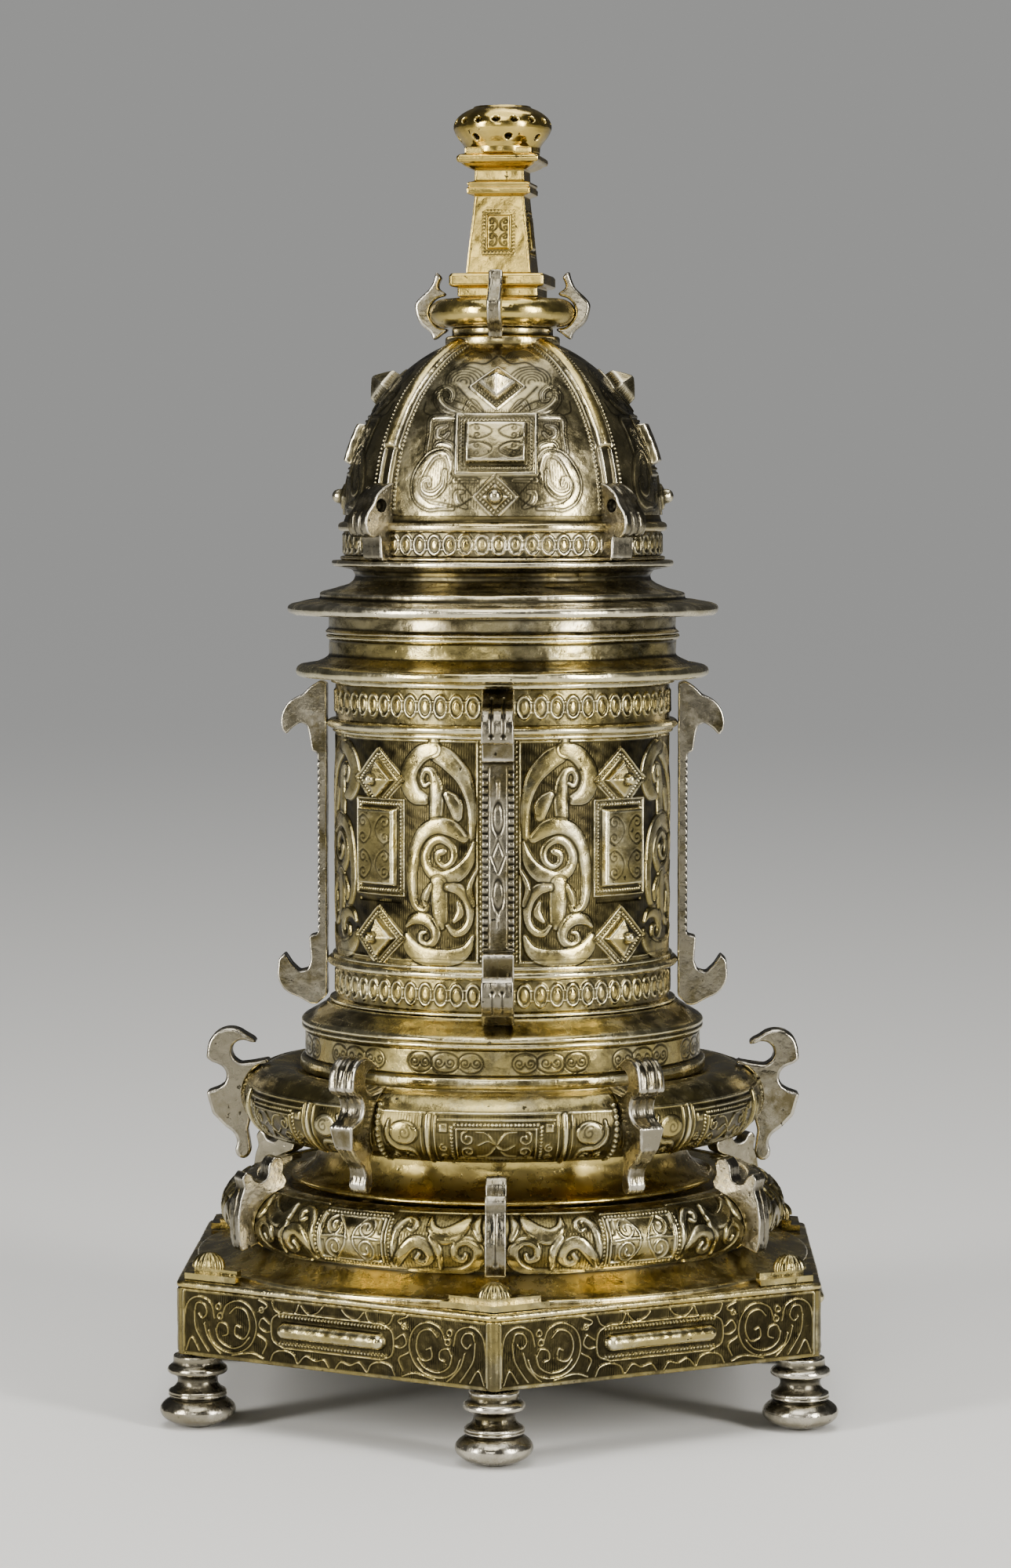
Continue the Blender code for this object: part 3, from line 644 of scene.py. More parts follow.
def dome_relief(s, t, up):
    """A quarter of the dome: tablet, two studs, flat scrolls, hatched fields and engraved leaves."""
    r = Relief(s, t)
    for i in (-1, 1):
        for (x, z), (wide, tall) in DOME_FIELDS:
            where, gap = r.from_box((i * x, up(z)), (wide, tall))
            r.ground[where] = np.maximum(r.ground[where], eased(0.2 - gap / 0.5))
    r.height[:] = -0.35 * r.ground
    for i in (-1, 1):
        for line in DOME_STRAPS:
            strap = curve(mirrored([(a, up(b), w * 1.1) for a, b, w in line], i))
            r.raise_(r.from_line(strap), 0.26, 0.3, 0.3)
        for k in range(6):
            centre, reach = (10.6, up(314.6)), 1.2 + 1.25 * k
            leaf = spiral(centre, reach, 205 - 6 * k, -0.52, inner=0.8, steps=18)
            r.engrave(mirrored(leaf, i), 0.16, 0.24, 0.95, 1.9)
            frond = spiral((17.6, up(309.6)), 1.0 + 0.9 * k, 100, -0.30, inner=0.9, steps=10)
            r.engrave(mirrored(frond, i) if k < 4 else mirrored(leaf, i), 0.14, 0.24, 0.95, 1.9)
            crest = spiral((6.4, up(322.0)), 0.8 + 0.75 * k, 20, 0.45, inner=0.9, steps=12)
            r.engrave(mirrored(crest, i), 0.14, 0.24, 0.95, 1.9)
        for line in DOME_LINES:
            r.engrave(curve(mirrored([(a, up(b)) for a, b in line], i)), 0.2, 0.3, 0.98, 1.9)
    for z, half in ((up(313.0), 8.3), (up(279.9), 6.6)):
        r.field(r.from_box((0, z), (half, half), True), 0.25, wiped=True)
        r.ridge(border((0, z), (half, half), True), 0.4, 0.5)
        r.beads(border((0, z), (half - 1.7, half - 1.7), True), 1.1, 0.42, 0.4, 0.6)
    r.stud((0, up(313.0)), (6.1, 6.0), 6.4)
    r.stud((0, up(279.9)), (4.4, 4.4), 2.2, 2.1)
    middle = up(296.0)
    r.field(r.from_box((0, middle), (12.1, 9.5)), 0.25, wiped=True)
    r.ridge(border((0, middle), (12.0, 9.4)), 0.75, 0.5)
    r.beads(border((0, middle), (10.4, 7.8)), 1.2, 0.5, 0.5, 0.65)
    r.plaque((0, middle), (9.2, 6.6), 2.4, 0.8)
    scroll_tablet(r, (0, middle), (8.2, 5.7))
    r.strokes()
    return r


LOWER_STRAPS = (
    [(14.0, -6.4, 0.7), (14.4, -1.0, 0.9), (15.4, 4.4, 1.0), (18.2, 7.6, 1.1), (20.8, 6.2, 0.9),
     (20.0, 3.6, 0.6), (18.2, 4.2, 0.4)],
    [(14.6, -7.8, 0.9), (17.0, -3.6, 1.4), (20.4, 0.0, 1.6), (24.2, -0.6, 1.5), (25.8, -4.0, 1.2),
     (23.8, -6.6, 0.9), (21.4, -5.4, 0.8), (22.4, -3.4, 0.5)],
    [(18.0, -10.0, 0.5), (23.0, -10.2, 1.1), (29.0, -10.2, 1.5), (35.0, -9.6, 1.5), (39.4, -6.4, 1.6),
     (40.4, -1.8, 1.4), (37.2, 1.0, 1.2), (33.6, -0.4, 1.0), (33.2, -3.8, 0.9), (35.6, -5.0, 0.7),
     (36.6, -3.0, 0.5)],
    [(25.4, 8.8, 0.4), (26.0, 4.6, 1.3), (29.2, 2.2, 2.0), (33.4, 3.6, 2.1), (36.4, 7.2, 1.4),
     (37.2, 9.8, 0.6)],
    [(28.6, -8.0, 0.5), (28.2, -2.0, 1.0), (25.6, 1.8, 0.6)],
    [(40.6, 9.6, 0.6), (39.6, 5.0, 1.2), (40.8, 1.4, 0.7)],
)


def lower_torus_relief(s, t):
    """A sixth of the lower moulding: a scrolled tablet, bead rows and strap volutes on a hatched ground."""
    r = Relief(s, t)
    r.ground[:] = eased((11.0 - np.abs(t)) / 0.5) * eased((41.6 - np.abs(r.s)) / 0.5)
    r.height[:] = -0.35 * r.ground
    for i in (-1, 1):
        for line in LOWER_STRAPS:
            r.raise_(r.from_line(curve(mirrored(line, i)) * (1, 1, 1.25)), 0.75)
        r.ridge([(i * 11.9, -8.0), (i * 11.9, 8.0)], 0.4, 0.45)
        r.beads([(i * 12.9, -7.0), (i * 12.9, 7.0)], 1.3, 0.45, 0.35)
        r.beads([(-11.0, i * 8.1), (11.0, i * 8.1)], 1.25, 0.55, 0.5)
        r.ridge([(-12.0, i * 9.4), (12.0, i * 9.4)], 0.4, 0.4)
        r.ridge([(i * 13.5, 11.2), (i * 42, 11.2)], 0.5, 0.3)
        for j in (-1, 1):
            eye = (i * 5.4, j * 3.1)
            r.ridge(spiral(eye, 3.4, 90 * j, -i * j * 1.35), 0.35, 0.5)
            r.ridge(curve([(i * 1.2, 0.0), (i * 2.0, j * 2.6), (i * 5.2, j * 6.4)]), 0.35, 0.5)
        r.ridge(curve([(i * 0.8, 0), (i * 3.0, 0.4), (i * 9.8, 0.0)]), 0.35, 0.45)
    where, gap = r.from_box((0, 0), (11.2, 7.0))
    r.ground[where] *= gap >= 0
    r.soil_and_shade(where, 0.25 * (gap < 0))
    r.height[where] += 0.5 * eased(-gap / 0.5)
    r.ridge(border((0, 0), (10.9, 6.7)), 0.4, 0.95)
    r.strokes(3, 2.2, 0.55)
    return r


def upper_torus_relief(s, t):
    """A sixth of the upper moulding: a beaded cartouche, upright bars, and ovals beside the brackets."""
    r = Relief(s, t)
    r.ground[:] = 0.8 * eased((9.6 - np.abs(t)) / 0.4) * eased((36.0 - np.abs(r.s)) / 0.4)
    r.dark[:] = 0.30 * (np.abs(t) < 9.6)
    for i in (-1, 1):
        r.ridge([(-36, i * 9.8), (36, i * 9.8)], 0.5, 0.4)
        r.raise_(r.from_line([(i * 20.6, -9.0, 0.9), (i * 20.6, 9.0, 0.9)]), 0.9, 0.4, 0.0)
        r.ridge([(i * 18.4, -9.0), (i * 18.4, 9.0)], 0.4, 0.6)
        r.ridge([(i * 22.6, -9.0), (i * 22.6, 9.0)], 0.35, 0.5)
        r.beads([(i * 36.6, -10.5), (i * 36.6, 11.5)], 1.9, 0.9, 0.85)
        r.beads([(i * 13.2, -5.6), (i * 13.2, 5.6)], 1.1, 0.5, 0.5)
        r.beads([(-12.2, i * 6.4), (12.2, i * 6.4)], 1.1, 0.45, 0.45)
        r.ridge([(-17.4, i * 7.8), (17.4, i * 7.8)], 0.4, 0.45)
        r.raise_(r.from_box((i * 15.8, 5.4), (1.3, 1.3)), 0.5, 0.3, 0.0)
        r.ridge(spiral((i * 15.8, -1.0), 1.5, 90, 1.2), 0.3, 0.45)
        r.ridge(spiral((i * 15.8, -4.8), 1.5, -90, -1.2), 0.3, 0.45)
        r.raise_(r.from_oval((i * 28.2, 3.4), (4.6, 3.7)), 0.8, 0.5, 0.12)
        r.raise_(r.from_line(curve([(i * 24.2, -7.4, 0.5), (i * 26.0, -2.4, 1.0), (i * 30.6, -1.6, 1.3),
                                    (i * 33.4, 2.4, 1.0), (i * 32.8, 7.0, 0.5)])), 0.6)
        r.ridge(spiral((i * 27.2, -5.6), 2.0, 100, -i * 1.3), 0.35, 0.5)
        r.ridge(spiral((i * 32.2, -5.6), 1.9, 80, i * 1.3), 0.35, 0.5)
        r.engrave(spiral((i * 27.6, 3.6), 2.0, 60, i * 1.2), 0.12, 0.2)
        for j in (-1, 1):
            r.ridge(spiral((i * 8.4, j * 2.3), 2.3, 90 * j, -i * j * 1.25), 0.32, 0.5)
            r.ridge(curve([(i * 0.3, j * 0.6), (i * 2.8, j * 3.9), (i * 6.0, j * 4.5)]), 0.32, 0.5)
        r.ridge(curve([(0, 0), (i * 2.4, -i * 1.6), (i * 5.4, 0.2)]), 0.3, 0.45)
    r.ridge(border((0, 0), (11.8, 5.2)), 0.4, 0.65)
    r.hatch()
    return r


BAR_HEIGHT = 33.3
BASE_LINES = (
    [(53.0, 25.0), (53.2, 31.0), (52.2, 38.0), (48.2, 40.6), (43.6, 39.0), (42.2, 34.6)],
    [(49.4, 36.4), (48.6, 38.6), (46.0, 38.4), (45.0, 36.0), (46.6, 34.2), (48.0, 35.4)],
    [(49.6, 36.0), (49.0, 31.0), (46.4, 26.8), (44.4, 24.2)],
    [(46.0, 32.6), (44.6, 28.6), (41.8, 25.4), (40.0, 24.0)],
    [(44.4, 30.6), (42.6, 27.0), (38.4, 24.8), (33.0, 25.2), (28.8, 28.2), (27.0, 33.2), (28.6, 38.2),
     (33.0, 40.6), (37.6, 39.2), (39.4, 35.6)],
    [(36.6, 36.6), (34.2, 38.6), (30.6, 37.4), (29.4, 33.0), (31.4, 29.4), (34.6, 30.2), (34.4, 33.0),
     (32.8, 32.6)],
    [(41.6, 31.2), (40.4, 33.4), (37.8, 32.8), (37.4, 30.4), (39.2, 29.6)],
    [(41.8, 31.6), (40.6, 28.2), (36.8, 26.2), (32.6, 27.0), (29.8, 29.6)],
    [(35.8, 24.0), (29.0, 25.2), (24.6, 24.0)],
    [(26.6, 31.0), (23.4, 29.0), (24.8, 25.6)],
    [(26.4, 38.0), (23.0, 40.0), (26.2, 41.6)],
    [(22.2, 34.6), (24.8, 36.2), (26.0, 33.8), (24.0, 32.2), (21.6, 32.6)],
    [(52.6, 24.0), (50.6, 28.0), (47.8, 24.2)],
)
LENS = ((-4.8, 0), (-3.4, 2.5), (0, 3.4), (3.4, 2.5), (4.8, 0))
BASE_RINGS = (((40.8, 38.2), 0.9), ((40.2, 35.4), 0.9), ((25.2, 38.6), 0.8))


def base_relief(s, z):
    """A side of the foot: gilded scrolls on a dark ground, and a half-round bar between rows of beads."""
    r = Relief(s, z)
    r.ground[:] = eased((53.4 - np.abs(r.s)) / 0.4) * eased((z - 23.3) / 0.3) * eased((42.0 - z) / 0.3)
    r.dark[:] = 0.5 + 0.45 * r.ground
    bottom, top = 23.4, 41.8
    for i in (-1, 1):
        for line in BASE_LINES:
            r.ridge(curve(mirrored(line, i)), 0.33, 0.38, 0.5)
        for centre, radius in BASE_RINGS:
            r.ridge(spiral((i * centre[0], centre[1]), radius, 0, 1.0, inner=1.0), 0.3, 0.36, 0.5)
        for s0, z0, j in ((16.6, top - 0.4, -1), (17.2, bottom + 0.4, 1)):
            lens = [(i * (s0 + across), z0 + j * up) for across, up in LENS]
            r.ridge(curve(lens), 0.34, 0.4, 0.4)
        leaf = [(i * 11.0, top - 0.6), (i * 8.6, top - 2.8), (i * 5.4, top - 2.2), (i * 3.4, top - 0.4)]
        r.ridge(curve(leaf), 0.32, 0.4, 0.4)
        leaf = [(i * 12.0, bottom + 0.4), (i * 9.4, bottom + 2.9), (i * 6.2, bottom + 1.8)]
        leaf += [(i * 3.0, bottom + 2.4), (i * 1.2, bottom + 0.3)]
        r.ridge(curve(leaf), 0.32, 0.4, 0.4)
        r.ridge([(i * 53.6, bottom), (i * 53.6, top)], 0.45, 0.4)
        r.beads([(-18.6, BAR_HEIGHT + i * 4.1), (18.6, BAR_HEIGHT + i * 4.1)], 1.15, 0.5, 0.6)
        end = [(i * 17.2, BAR_HEIGHT + 5.3), (i * 20.8, BAR_HEIGHT + 3.6), (i * 21.6, BAR_HEIGHT)]
        end += [(i * 20.8, BAR_HEIGHT - 3.6), (i * 17.2, BAR_HEIGHT - 5.3)]
        r.ridge(curve(end), 0.4, 0.5, 0.4)
        r.ridge([(-17, BAR_HEIGHT + i * 5.3), (17, BAR_HEIGHT + i * 5.3)], 0.4, 0.5, 0.4)
    r.dark[:] = np.maximum(r.dark, 0.42)
    where, gap = r.from_line([(-16.4, BAR_HEIGHT, 2.5), (16.4, BAR_HEIGHT, 2.5)])
    round_bar = np.sqrt(np.clip(1 - ((gap + 2.5) / 2.5) ** 2, 0, 1)) * (gap < 0)
    r.lift(where, 3.2 * round_bar)
    r.dark[where] *= gap >= -0.1
    r.ground[where] *= gap > 0
    r.hatch(3, 0.06)
    return r


def band_relief(s, t):
    """The drum's band: engraved roundels of fine scrolls between plain fields."""
    r = Relief(s, t)
    middle, count = 111.3, 12
    around = math.tau * DRUM_RADIUS
    circle = spiral((0, 0), 1.0, 0, 1.0, inner=1.0)
    for i in range(count):
        x = (i + 0.5) * (around / count) - around / 2
        for k, wide in ((-1.05, 3.9), (0.0, 4.6), (1.05, 3.9)):
            c = x + k * 7.6
            oval = np.stack([c + wide * circle[:, 0], middle + 3.1 * circle[:, 1]], axis=1)
            r.engrave(oval, 0.16, 0.26, 0.95)
            for side in (-1, 1):
                scroll = spiral((c + side * 1.7, middle), 1.7, 90 + 90 * side, side * 1.4, steps=18)
                r.engrave(scroll, 0.14, 0.24, 0.95)
    return r


def tablet_relief(s, t, middle):
    """The obelisk's small tablet in its beaded frame."""
    r = Relief(s, t)
    r.beads(border((0, middle), (4.7, 6.4)), 1.1, 0.42, 0.35)
    r.plaque((0, middle), (3.6, 5.3), 0.7, 0.5)
    scroll_tablet(r, (0, middle), (3.1, 4.8))
    return r


# Worked surfaces


def tucked(grid, normals, depth=1.2, rows=True, columns=True):
    """Bends the outermost rows and columns of a sheet inwards, so that no open edge shows."""
    grid = grid.copy()
    if rows:
        grid[0] -= normals[0] * depth
        grid[-1] -= normals[-1] * depth
    if columns:
        grid[:, 0] -= normals[:, 0] * depth
        grid[:, -1] -= normals[:, -1] * depth
    return grid


def copies(name, mesh, finish, azimuths, nodes=()):
    """The same sheet at several azimuths; the first copy stands for the CAD nodes."""
    for i, azimuth in enumerate(azimuths):
        placed(f"{name}_{i + 1}", mesh, finish, nodes if i == 0 else (), azimuth)


def relief_ring(name, line, design, finish, radius, step=0.28):
    """A full ring with its relief."""
    line, _ = even(line, step)
    angles = np.linspace(0, math.tau, int(math.tau * radius / step), endpoint=False)
    points, normals = round_sheet(line, angles)
    relief = design((angles[None, :] - math.pi) * radius, points[..., 2])
    waver = unevenness(angles[None, :], np.arange(len(line))[:, None] * step, 0.04)
    grid = points + normals * relief.height[..., None] + normals * waver[..., None]
    mesh = surface(name, tucked(grid, normals, columns=False), closed_u=True, **relief.layers())
    return placed(name, mesh, finish)


def relief_sector(name, line, half_angle, design, radius, step, zero):
    """One part of a ring, centred on azimuth 0; its design has t = 0 at the place zero along the line."""
    line, along = even(line, step)
    half = math.radians(half_angle)
    angles = np.linspace(-half, half, int(2 * half * radius / step))
    points, normals = round_sheet(line, angles)
    relief = design(angles[None, :] * radius, (along - zero)[:, None])
    waver = unevenness(angles[None, :] * 2, along[:, None], 0.05)
    grid = points + normals * relief.height[..., None] + normals * waver[..., None]
    return surface(name, tucked(grid, normals), **relief.layers())


def full_width(height):
    return 1.0 + 0 * height


def console(
    name, node, azimuth, finish, cutting, bevel=0.45, step=0.4, outline=None, taper=full_width, eye=None
):
    """A cast scroll cut from the outline of its CAD node, or a finer one, with eased edges.

    cutting(across, radius, height) says how deep its outer face is engraved at a place, taper(height)
    is its share of the full width, and eye is a round hollow (radius, height, reach) in both sides.
    """
    loop, width = side_outline(node, azimuth)
    line = softened(loop if outline is None else curve(outline), step, 3)
    normal = normals_of(line)
    half = width / 2 - bevel
    edge = np.radians(np.linspace(0, 90, 5))
    flat = np.linspace(-half, half, 33)[1:-1]
    across = np.concatenate([-half - bevel * np.cos(edge), flat, half + bevel * np.sin(edge)])
    inset = np.concatenate([bevel * (1 - np.sin(edge)), 0 * flat, bevel * (1 - np.cos(edge))])
    outward = eased((normal[:, :1] + 0.15) / 0.35)
    cut = cutting(across[None, :], line[:, :1], line[:, 1:]) * outward
    along = np.arange(len(line))[:, None] * step
    lift = unevenness(across[None, :] * 0.4, along, 0.05) - inset[None, :] - cut
    x = line[:, :1] + normal[:, :1] * lift
    z = line[:, 1:] + normal[:, 1:] * lift
    grid = np.stack([x, across[None, :] * taper(z), z], axis=-1)
    wear = wear_of(line, normal, 6, 0.2)
    # The cuts are painted darker the deeper they go: dirt together with painted shade
    dark = np.maximum(np.clip(cut * 2.4, 0, 1), wear["dark"])
    mesh = surface(name, grid, closed_v=True, dark=dark, worn=np.maximum(wear["worn"], 0.9 * (inset > 0)))
    close_sides(mesh, grid, taper, eye)
    return placed(name, mesh, finish, [node], azimuth)


def ring_points(eye, share=1.0):
    return arc(eye[:2], (eye[2] * share, eye[2] * share), 0, 360 - 360 / CIRCLE_POINTS, CIRCLE_POINTS - 1)


def close_sides(mesh, grid, taper, eye):
    """Closes both flat sides of a console, round the eye of its scroll."""
    bm = bmesh.new()
    bm.from_mesh(mesh)
    for column, turn in ((0, 1), (-1, -1)):
        outline = [Vector((x, z)) for x, _, z in grid[:, column]]
        rim = [Vector(p) for p in ring_points(eye)] if eye else []
        edges = [(len(outline) + i, len(outline) + (i + 1) % len(rim)) for i in range(len(rim))]
        found = geometry.delaunay_2d_cdt(outline + rim, edges, [list(range(len(outline)))], 1, 1e-5)
        width = grid[0, column, 1] / float(taper(grid[0, column, 2]))
        corners = [bm.verts.new((p.x * MM, width * float(taper(p.y)) * MM, p.y * MM)) for p in found[0]]
        for face in found[2]:
            middle = sum((found[0][i] for i in face), Vector((0, 0))) / len(face)
            if not eye or (middle - Vector(eye[:2])).length > eye[2] * 0.98:
                bm.faces.new([corners[i] for i in face[::turn]])
        if eye:
            sink_eye(bm, eye, width * float(taper(eye[1])))
    bm.to_mesh(mesh)
    bm.free()
    mesh.shade_smooth()
    mesh.set_sharp_from_angle(angle=math.radians(50))


EYE_STEPS = ((1.0, 0.0), (0.93, 0.6), (0.8, 1.4), (0.4, 1.9))  # share of the eye's reach, and depth


def sink_eye(bm, eye, width):
    """The round hollow in a console's side, painted darker the deeper it goes, as shade."""
    dark = bm.verts.layers.float["dark"]
    rings = []
    for share, deep in EYE_STEPS:
        y = width - math.copysign(deep, width)
        ring = [bm.verts.new((x * MM, y * MM, z * MM)) for x, z in ring_points(eye, share)]
        for vert in ring:
            # Painted shade, darker with depth
            vert[dark] = min(1.0, deep * 0.8)
        rings.append(ring)
    for outer, inner in zip(rings, rings[1:]):
        for i in range(CIRCLE_POINTS):
            j = (i + 1) % CIRCLE_POINTS
            corners = [outer[i], outer[j], inner[j], inner[i]]
            bm.faces.new(corners if width < 0 else corners[::-1])
    bm.faces.new(rings[-1] if width < 0 else rings[-1][::-1])


# Materials


def linked(tree, kind, **values):
    """A new node with its settings and inputs; a value that is a socket is linked, and any other is set.

    A capital and a number, such as I1, name an input by its place, and other capitalised keys by its name.
    """
    node = tree.nodes.new(kind)
    for key, value in values.items():
        if hasattr(node, key) and not key[0].isupper():
            setattr(node, key, value)
            continue
        socket = node.inputs[int(key[1:])] if key[1:].isdigit() else node.inputs[key.replace("_", " ")]
        if isinstance(value, bpy.types.NodeSocket):
            tree.links.new(value, socket)
        else:
            socket.default_value = value
    return node


def noise(tree, place, scale, detail, rough):
    node = linked(tree, "ShaderNodeTexNoise", Vector=place, Scale=scale, Detail=detail, Roughness=rough)
    return node.outputs["Fac"]


def layer(tree, name):
    return linked(tree, "ShaderNodeAttribute", attribute_type="GEOMETRY", attribute_name=name).outputs["Fac"]


def maths(tree, operation, first, second):
    return linked(tree, "ShaderNodeMath", operation=operation, I0=first, I1=second).outputs[0]


def between(tree, value, low, high, to_low=0.0, to_high=1.0):
    """The value's way from low to high, eased and mapped to a new range."""
    node = linked(tree, "ShaderNodeMapRange", interpolation_type="SMOOTHSTEP", Value=value)
    for key, number in zip(("From Min", "From Max", "To Min", "To Max"), (low, high, to_low, to_high)):
        node.inputs[key].default_value = number
    return node.outputs[0]


def mixed(tree, share, first, second):
    node = linked(tree, "ShaderNodeMix", data_type="RGBA")
    for socket, value in ((node.inputs[0], share), (node.inputs[6], first), (node.inputs[7], second)):
        if isinstance(value, bpy.types.NodeSocket):
            tree.links.new(value, socket)
        else:
            socket.default_value = value if isinstance(value, float) else (*value, 1.0)
    return node.outputs[2]


# Colours of the metal and of what lies on it
PALE = (0.76, 0.69, 0.43)
GOLD = (0.40, 0.325, 0.12)
DEEP = (0.58, 0.45, 0.14)
RUBBED = (0.78, 0.60, 0.19)
FRESH = (0.62, 0.45, 0.11)
GREYED = (0.42, 0.36, 0.19)
BARE = (0.73, 0.67, 0.49)
BRIGHT = (0.68, 0.64, 0.54)
OLIVE = (0.11, 0.09, 0.04)
SILVER = (0.27, 0.245, 0.18)
# Near-black: patina and dirt, and painted shade in hollows and at the feet of raised work
PATINA_AND_SHADE = (0.007, 0.0058, 0.0032)
BLUED = (0.10, 0.12, 0.11)


def worn_metal(name, body, worn, rubbed, wear, roughness, tarnish, relief=0.5):
    """Gilt or silver: the rubbed colour over the worn one, patina and painted shade in the hollows, pits and
    fine scratches.
    """
    material = bpy.data.materials.new(name)
    material.use_nodes = True
    tree = material.node_tree
    shader = tree.nodes["Principled BSDF"]
    place = linked(tree, "ShaderNodeTexCoord", object=frame["bodies"][body]).outputs["Object"]

    def plus(a, b):
        return maths(tree, "ADD", a, b)

    def times(a, b):
        return maths(tree, "MULTIPLY", a, b)

    cloud = noise(tree, place, 30.0, 5.0, 0.6)
    fine = noise(tree, place, 160.0, 4.0, 0.65)
    grain = noise(tree, place, 900.0, 3.0, 0.7)
    dark = layer(tree, "dark")
    ground = layer(tree, "ground")
    raised = layer(tree, "worn")
    gold = layer(tree, "gold")

    # Rubbed metal in patches and on raised edges
    patch = plus(plus(times(cloud, 0.6), times(fine, 0.4)), times(raised, 0.16))
    rub = between(tree, maths(tree, "SUBTRACT", patch, times(ground, 0.2)), wear - 0.08, wear + 0.14)
    colour = mixed(tree, rub, worn, rubbed)
    # Deeper gilding where the gold layer says so
    colour = mixed(tree, times(gold, between(tree, cloud, 0.3, 0.7, 1.0, 0.6)), colour, DEEP)
    # A thin olive film of tarnish and a few bluish stains
    film = between(tree, noise(tree, place, 60.0, 8.0, 0.72), 0.44, 0.62, 0.08, 0.8 * tarnish)
    film = times(film, between(tree, raised, 0.0, 0.6, 1.0, 0.25))
    film = times(film, between(tree, gold, 0.0, 1.0, 1.0, 0.35))
    colour = mixed(tree, film, colour, OLIVE)
    stain = between(tree, noise(tree, place, 70.0, 6.0, 0.7), 0.60, 0.74, 0.0, 0.5 * tarnish)
    colour = mixed(tree, stain, colour, BLUED)
    # Black in pits and the hatched ground as dirt, in hollows painted darker, and round raised work as
    # painted shadow
    pits = between(tree, noise(tree, place, 420.0, 3.0, 0.6), 0.66, 0.73, 0.0, 0.9)
    soiled_and_shaded = maths(tree, "MAXIMUM", times(dark, between(tree, fine, 0.25, 0.6, 0.85, 1.0)), pits)
    soiled_and_shaded = maths(tree, "MAXIMUM", soiled_and_shaded, times(ground, between(tree, fine, 0.35, 0.65, 0.99, 0.86)))
    colour = mixed(tree, soiled_and_shaded, colour, PATINA_AND_SHADE)
    tree.links.new(colour, shader.inputs["Base Color"])
    shader.inputs["Metallic"].default_value = 1.0
    rough = between(tree, fine, 0.3, 0.7, roughness - 0.06, roughness + 0.10)
    tree.links.new(plus(rough, times(soiled_and_shaded, 0.12)), shader.inputs["Roughness"])

    height = plus(plus(times(cloud, 1.6), times(fine, 0.50)), times(grain, 0.035))
    height = maths(tree, "SUBTRACT", height, times(pits, 0.12))
    bump = linked(tree, "ShaderNodeBump", Strength=relief, Distance=0.0006, Height=height)
    tree.links.new(bump.outputs[0], shader.inputs["Normal"])
    return material


# For each body's engraved gilt: worn colour, rubbed colour, wear, roughness, tarnish and strength of relief
GILT = {
    "stand": (GOLD, PALE, 0.56, 0.21, 1.05, 0.6),
    "wing_nut": (GOLD, PALE, 0.56, 0.21, 1.05, 0.6),
    "lid": (GREYED, BARE, 0.56, 0.21, 0.95, 0.6),
    "finial": (FRESH, RUBBED, 0.56, 0.17, 0.6, 0.3),
}
OTHER_FINISHES = {
    "gilt_bright": ("bright", DEEP, GOLD, 0.52, 0.20, 0.5),
    "silver_worn": ("silver", SILVER, BRIGHT, 0.60, 0.22, 1.2, 0.8),
    "steel": ("steel", (0.30, 0.29, 0.27), (0.42, 0.41, 0.39), 0.5, 0.42, 0.5),
}


def finishes_for(body):
    """The four finishes, painted in the space of one body so that they move with it."""
    finishes = {}
    for slot, (kind, *look) in {"gilt_engraved": ("engraved", *GILT[body]), **OTHER_FINISHES}.items():
        finishes[slot] = Finish(body, slot, worn_metal(f"{kind}_{body}", body, *look))
    return finishes


# The stage, the lights and the camera


FLOOR = 0.64  # how much light the floor gives back
FLOOR_REACH = 60  # metres
DAYLIGHT = 1.4
ROOM = 0.06  # the strength of what the metal mirrors
LAMP_COLOUR = (1.0, 0.97, 0.92)
LAMP_SPREAD = math.radians(130)
AIM = Vector((0, 0, 0.2))  # the middle of the object
# Name: azimuth, distance, height, size and power
SOFTBOXES = {
    "softbox_left": (-50, 1.3, 0.50, (0.26, 0.9), 13.0),
    "softbox_right": (48, 1.3, 0.55, (0.24, 0.9), 14.0),
    "softbox_front": (-9, 1.9, 0.62, (0.5, 0.6), 2.2),
    "softbox_high": (-8, 1.0, 1.75, (1.1, 1.0), 7.5),
    "softbox_back": (165, 1.4, 3.0, (1.6, 0.9), 9.0),
}
# The camera's distance and height are shares of the object's height
CAMERA_AZIMUTH = math.radians(1.3)
CAMERA_DISTANCE = 3.464
CAMERA_HEIGHT = 0.7048
CAMERA_PITCH = 0.0655
CAMERA_ASIDE = 0.0009  # metres
CAMERA_LENS = 102.5


def pale_floor():
    """A matt floor that reaches past the horizon."""
    mesh = bpy.data.meshes.new("floor")
    corners = [(-FLOOR_REACH, -FLOOR_REACH, 0), (FLOOR_REACH, -FLOOR_REACH, 0)]
    corners += [(FLOOR_REACH, FLOOR_REACH, 0), (-FLOOR_REACH, FLOOR_REACH, 0)]
    mesh.from_pydata(corners, [], [(0, 1, 2, 3)])
    floor = bpy.data.objects.new("floor", mesh)
    bpy.context.scene.collection.objects.link(floor)
    material = bpy.data.materials.new("pale_floor")
    material.use_nodes = True
    tree = material.node_tree
    matt = linked(tree, "ShaderNodeBsdfDiffuse", Color=(FLOOR, FLOOR, FLOOR * 0.98, 1.0))
    tree.links.new(matt.outputs[0], tree.nodes["Material Output"].inputs["Surface"])
    mesh.materials.append(material)


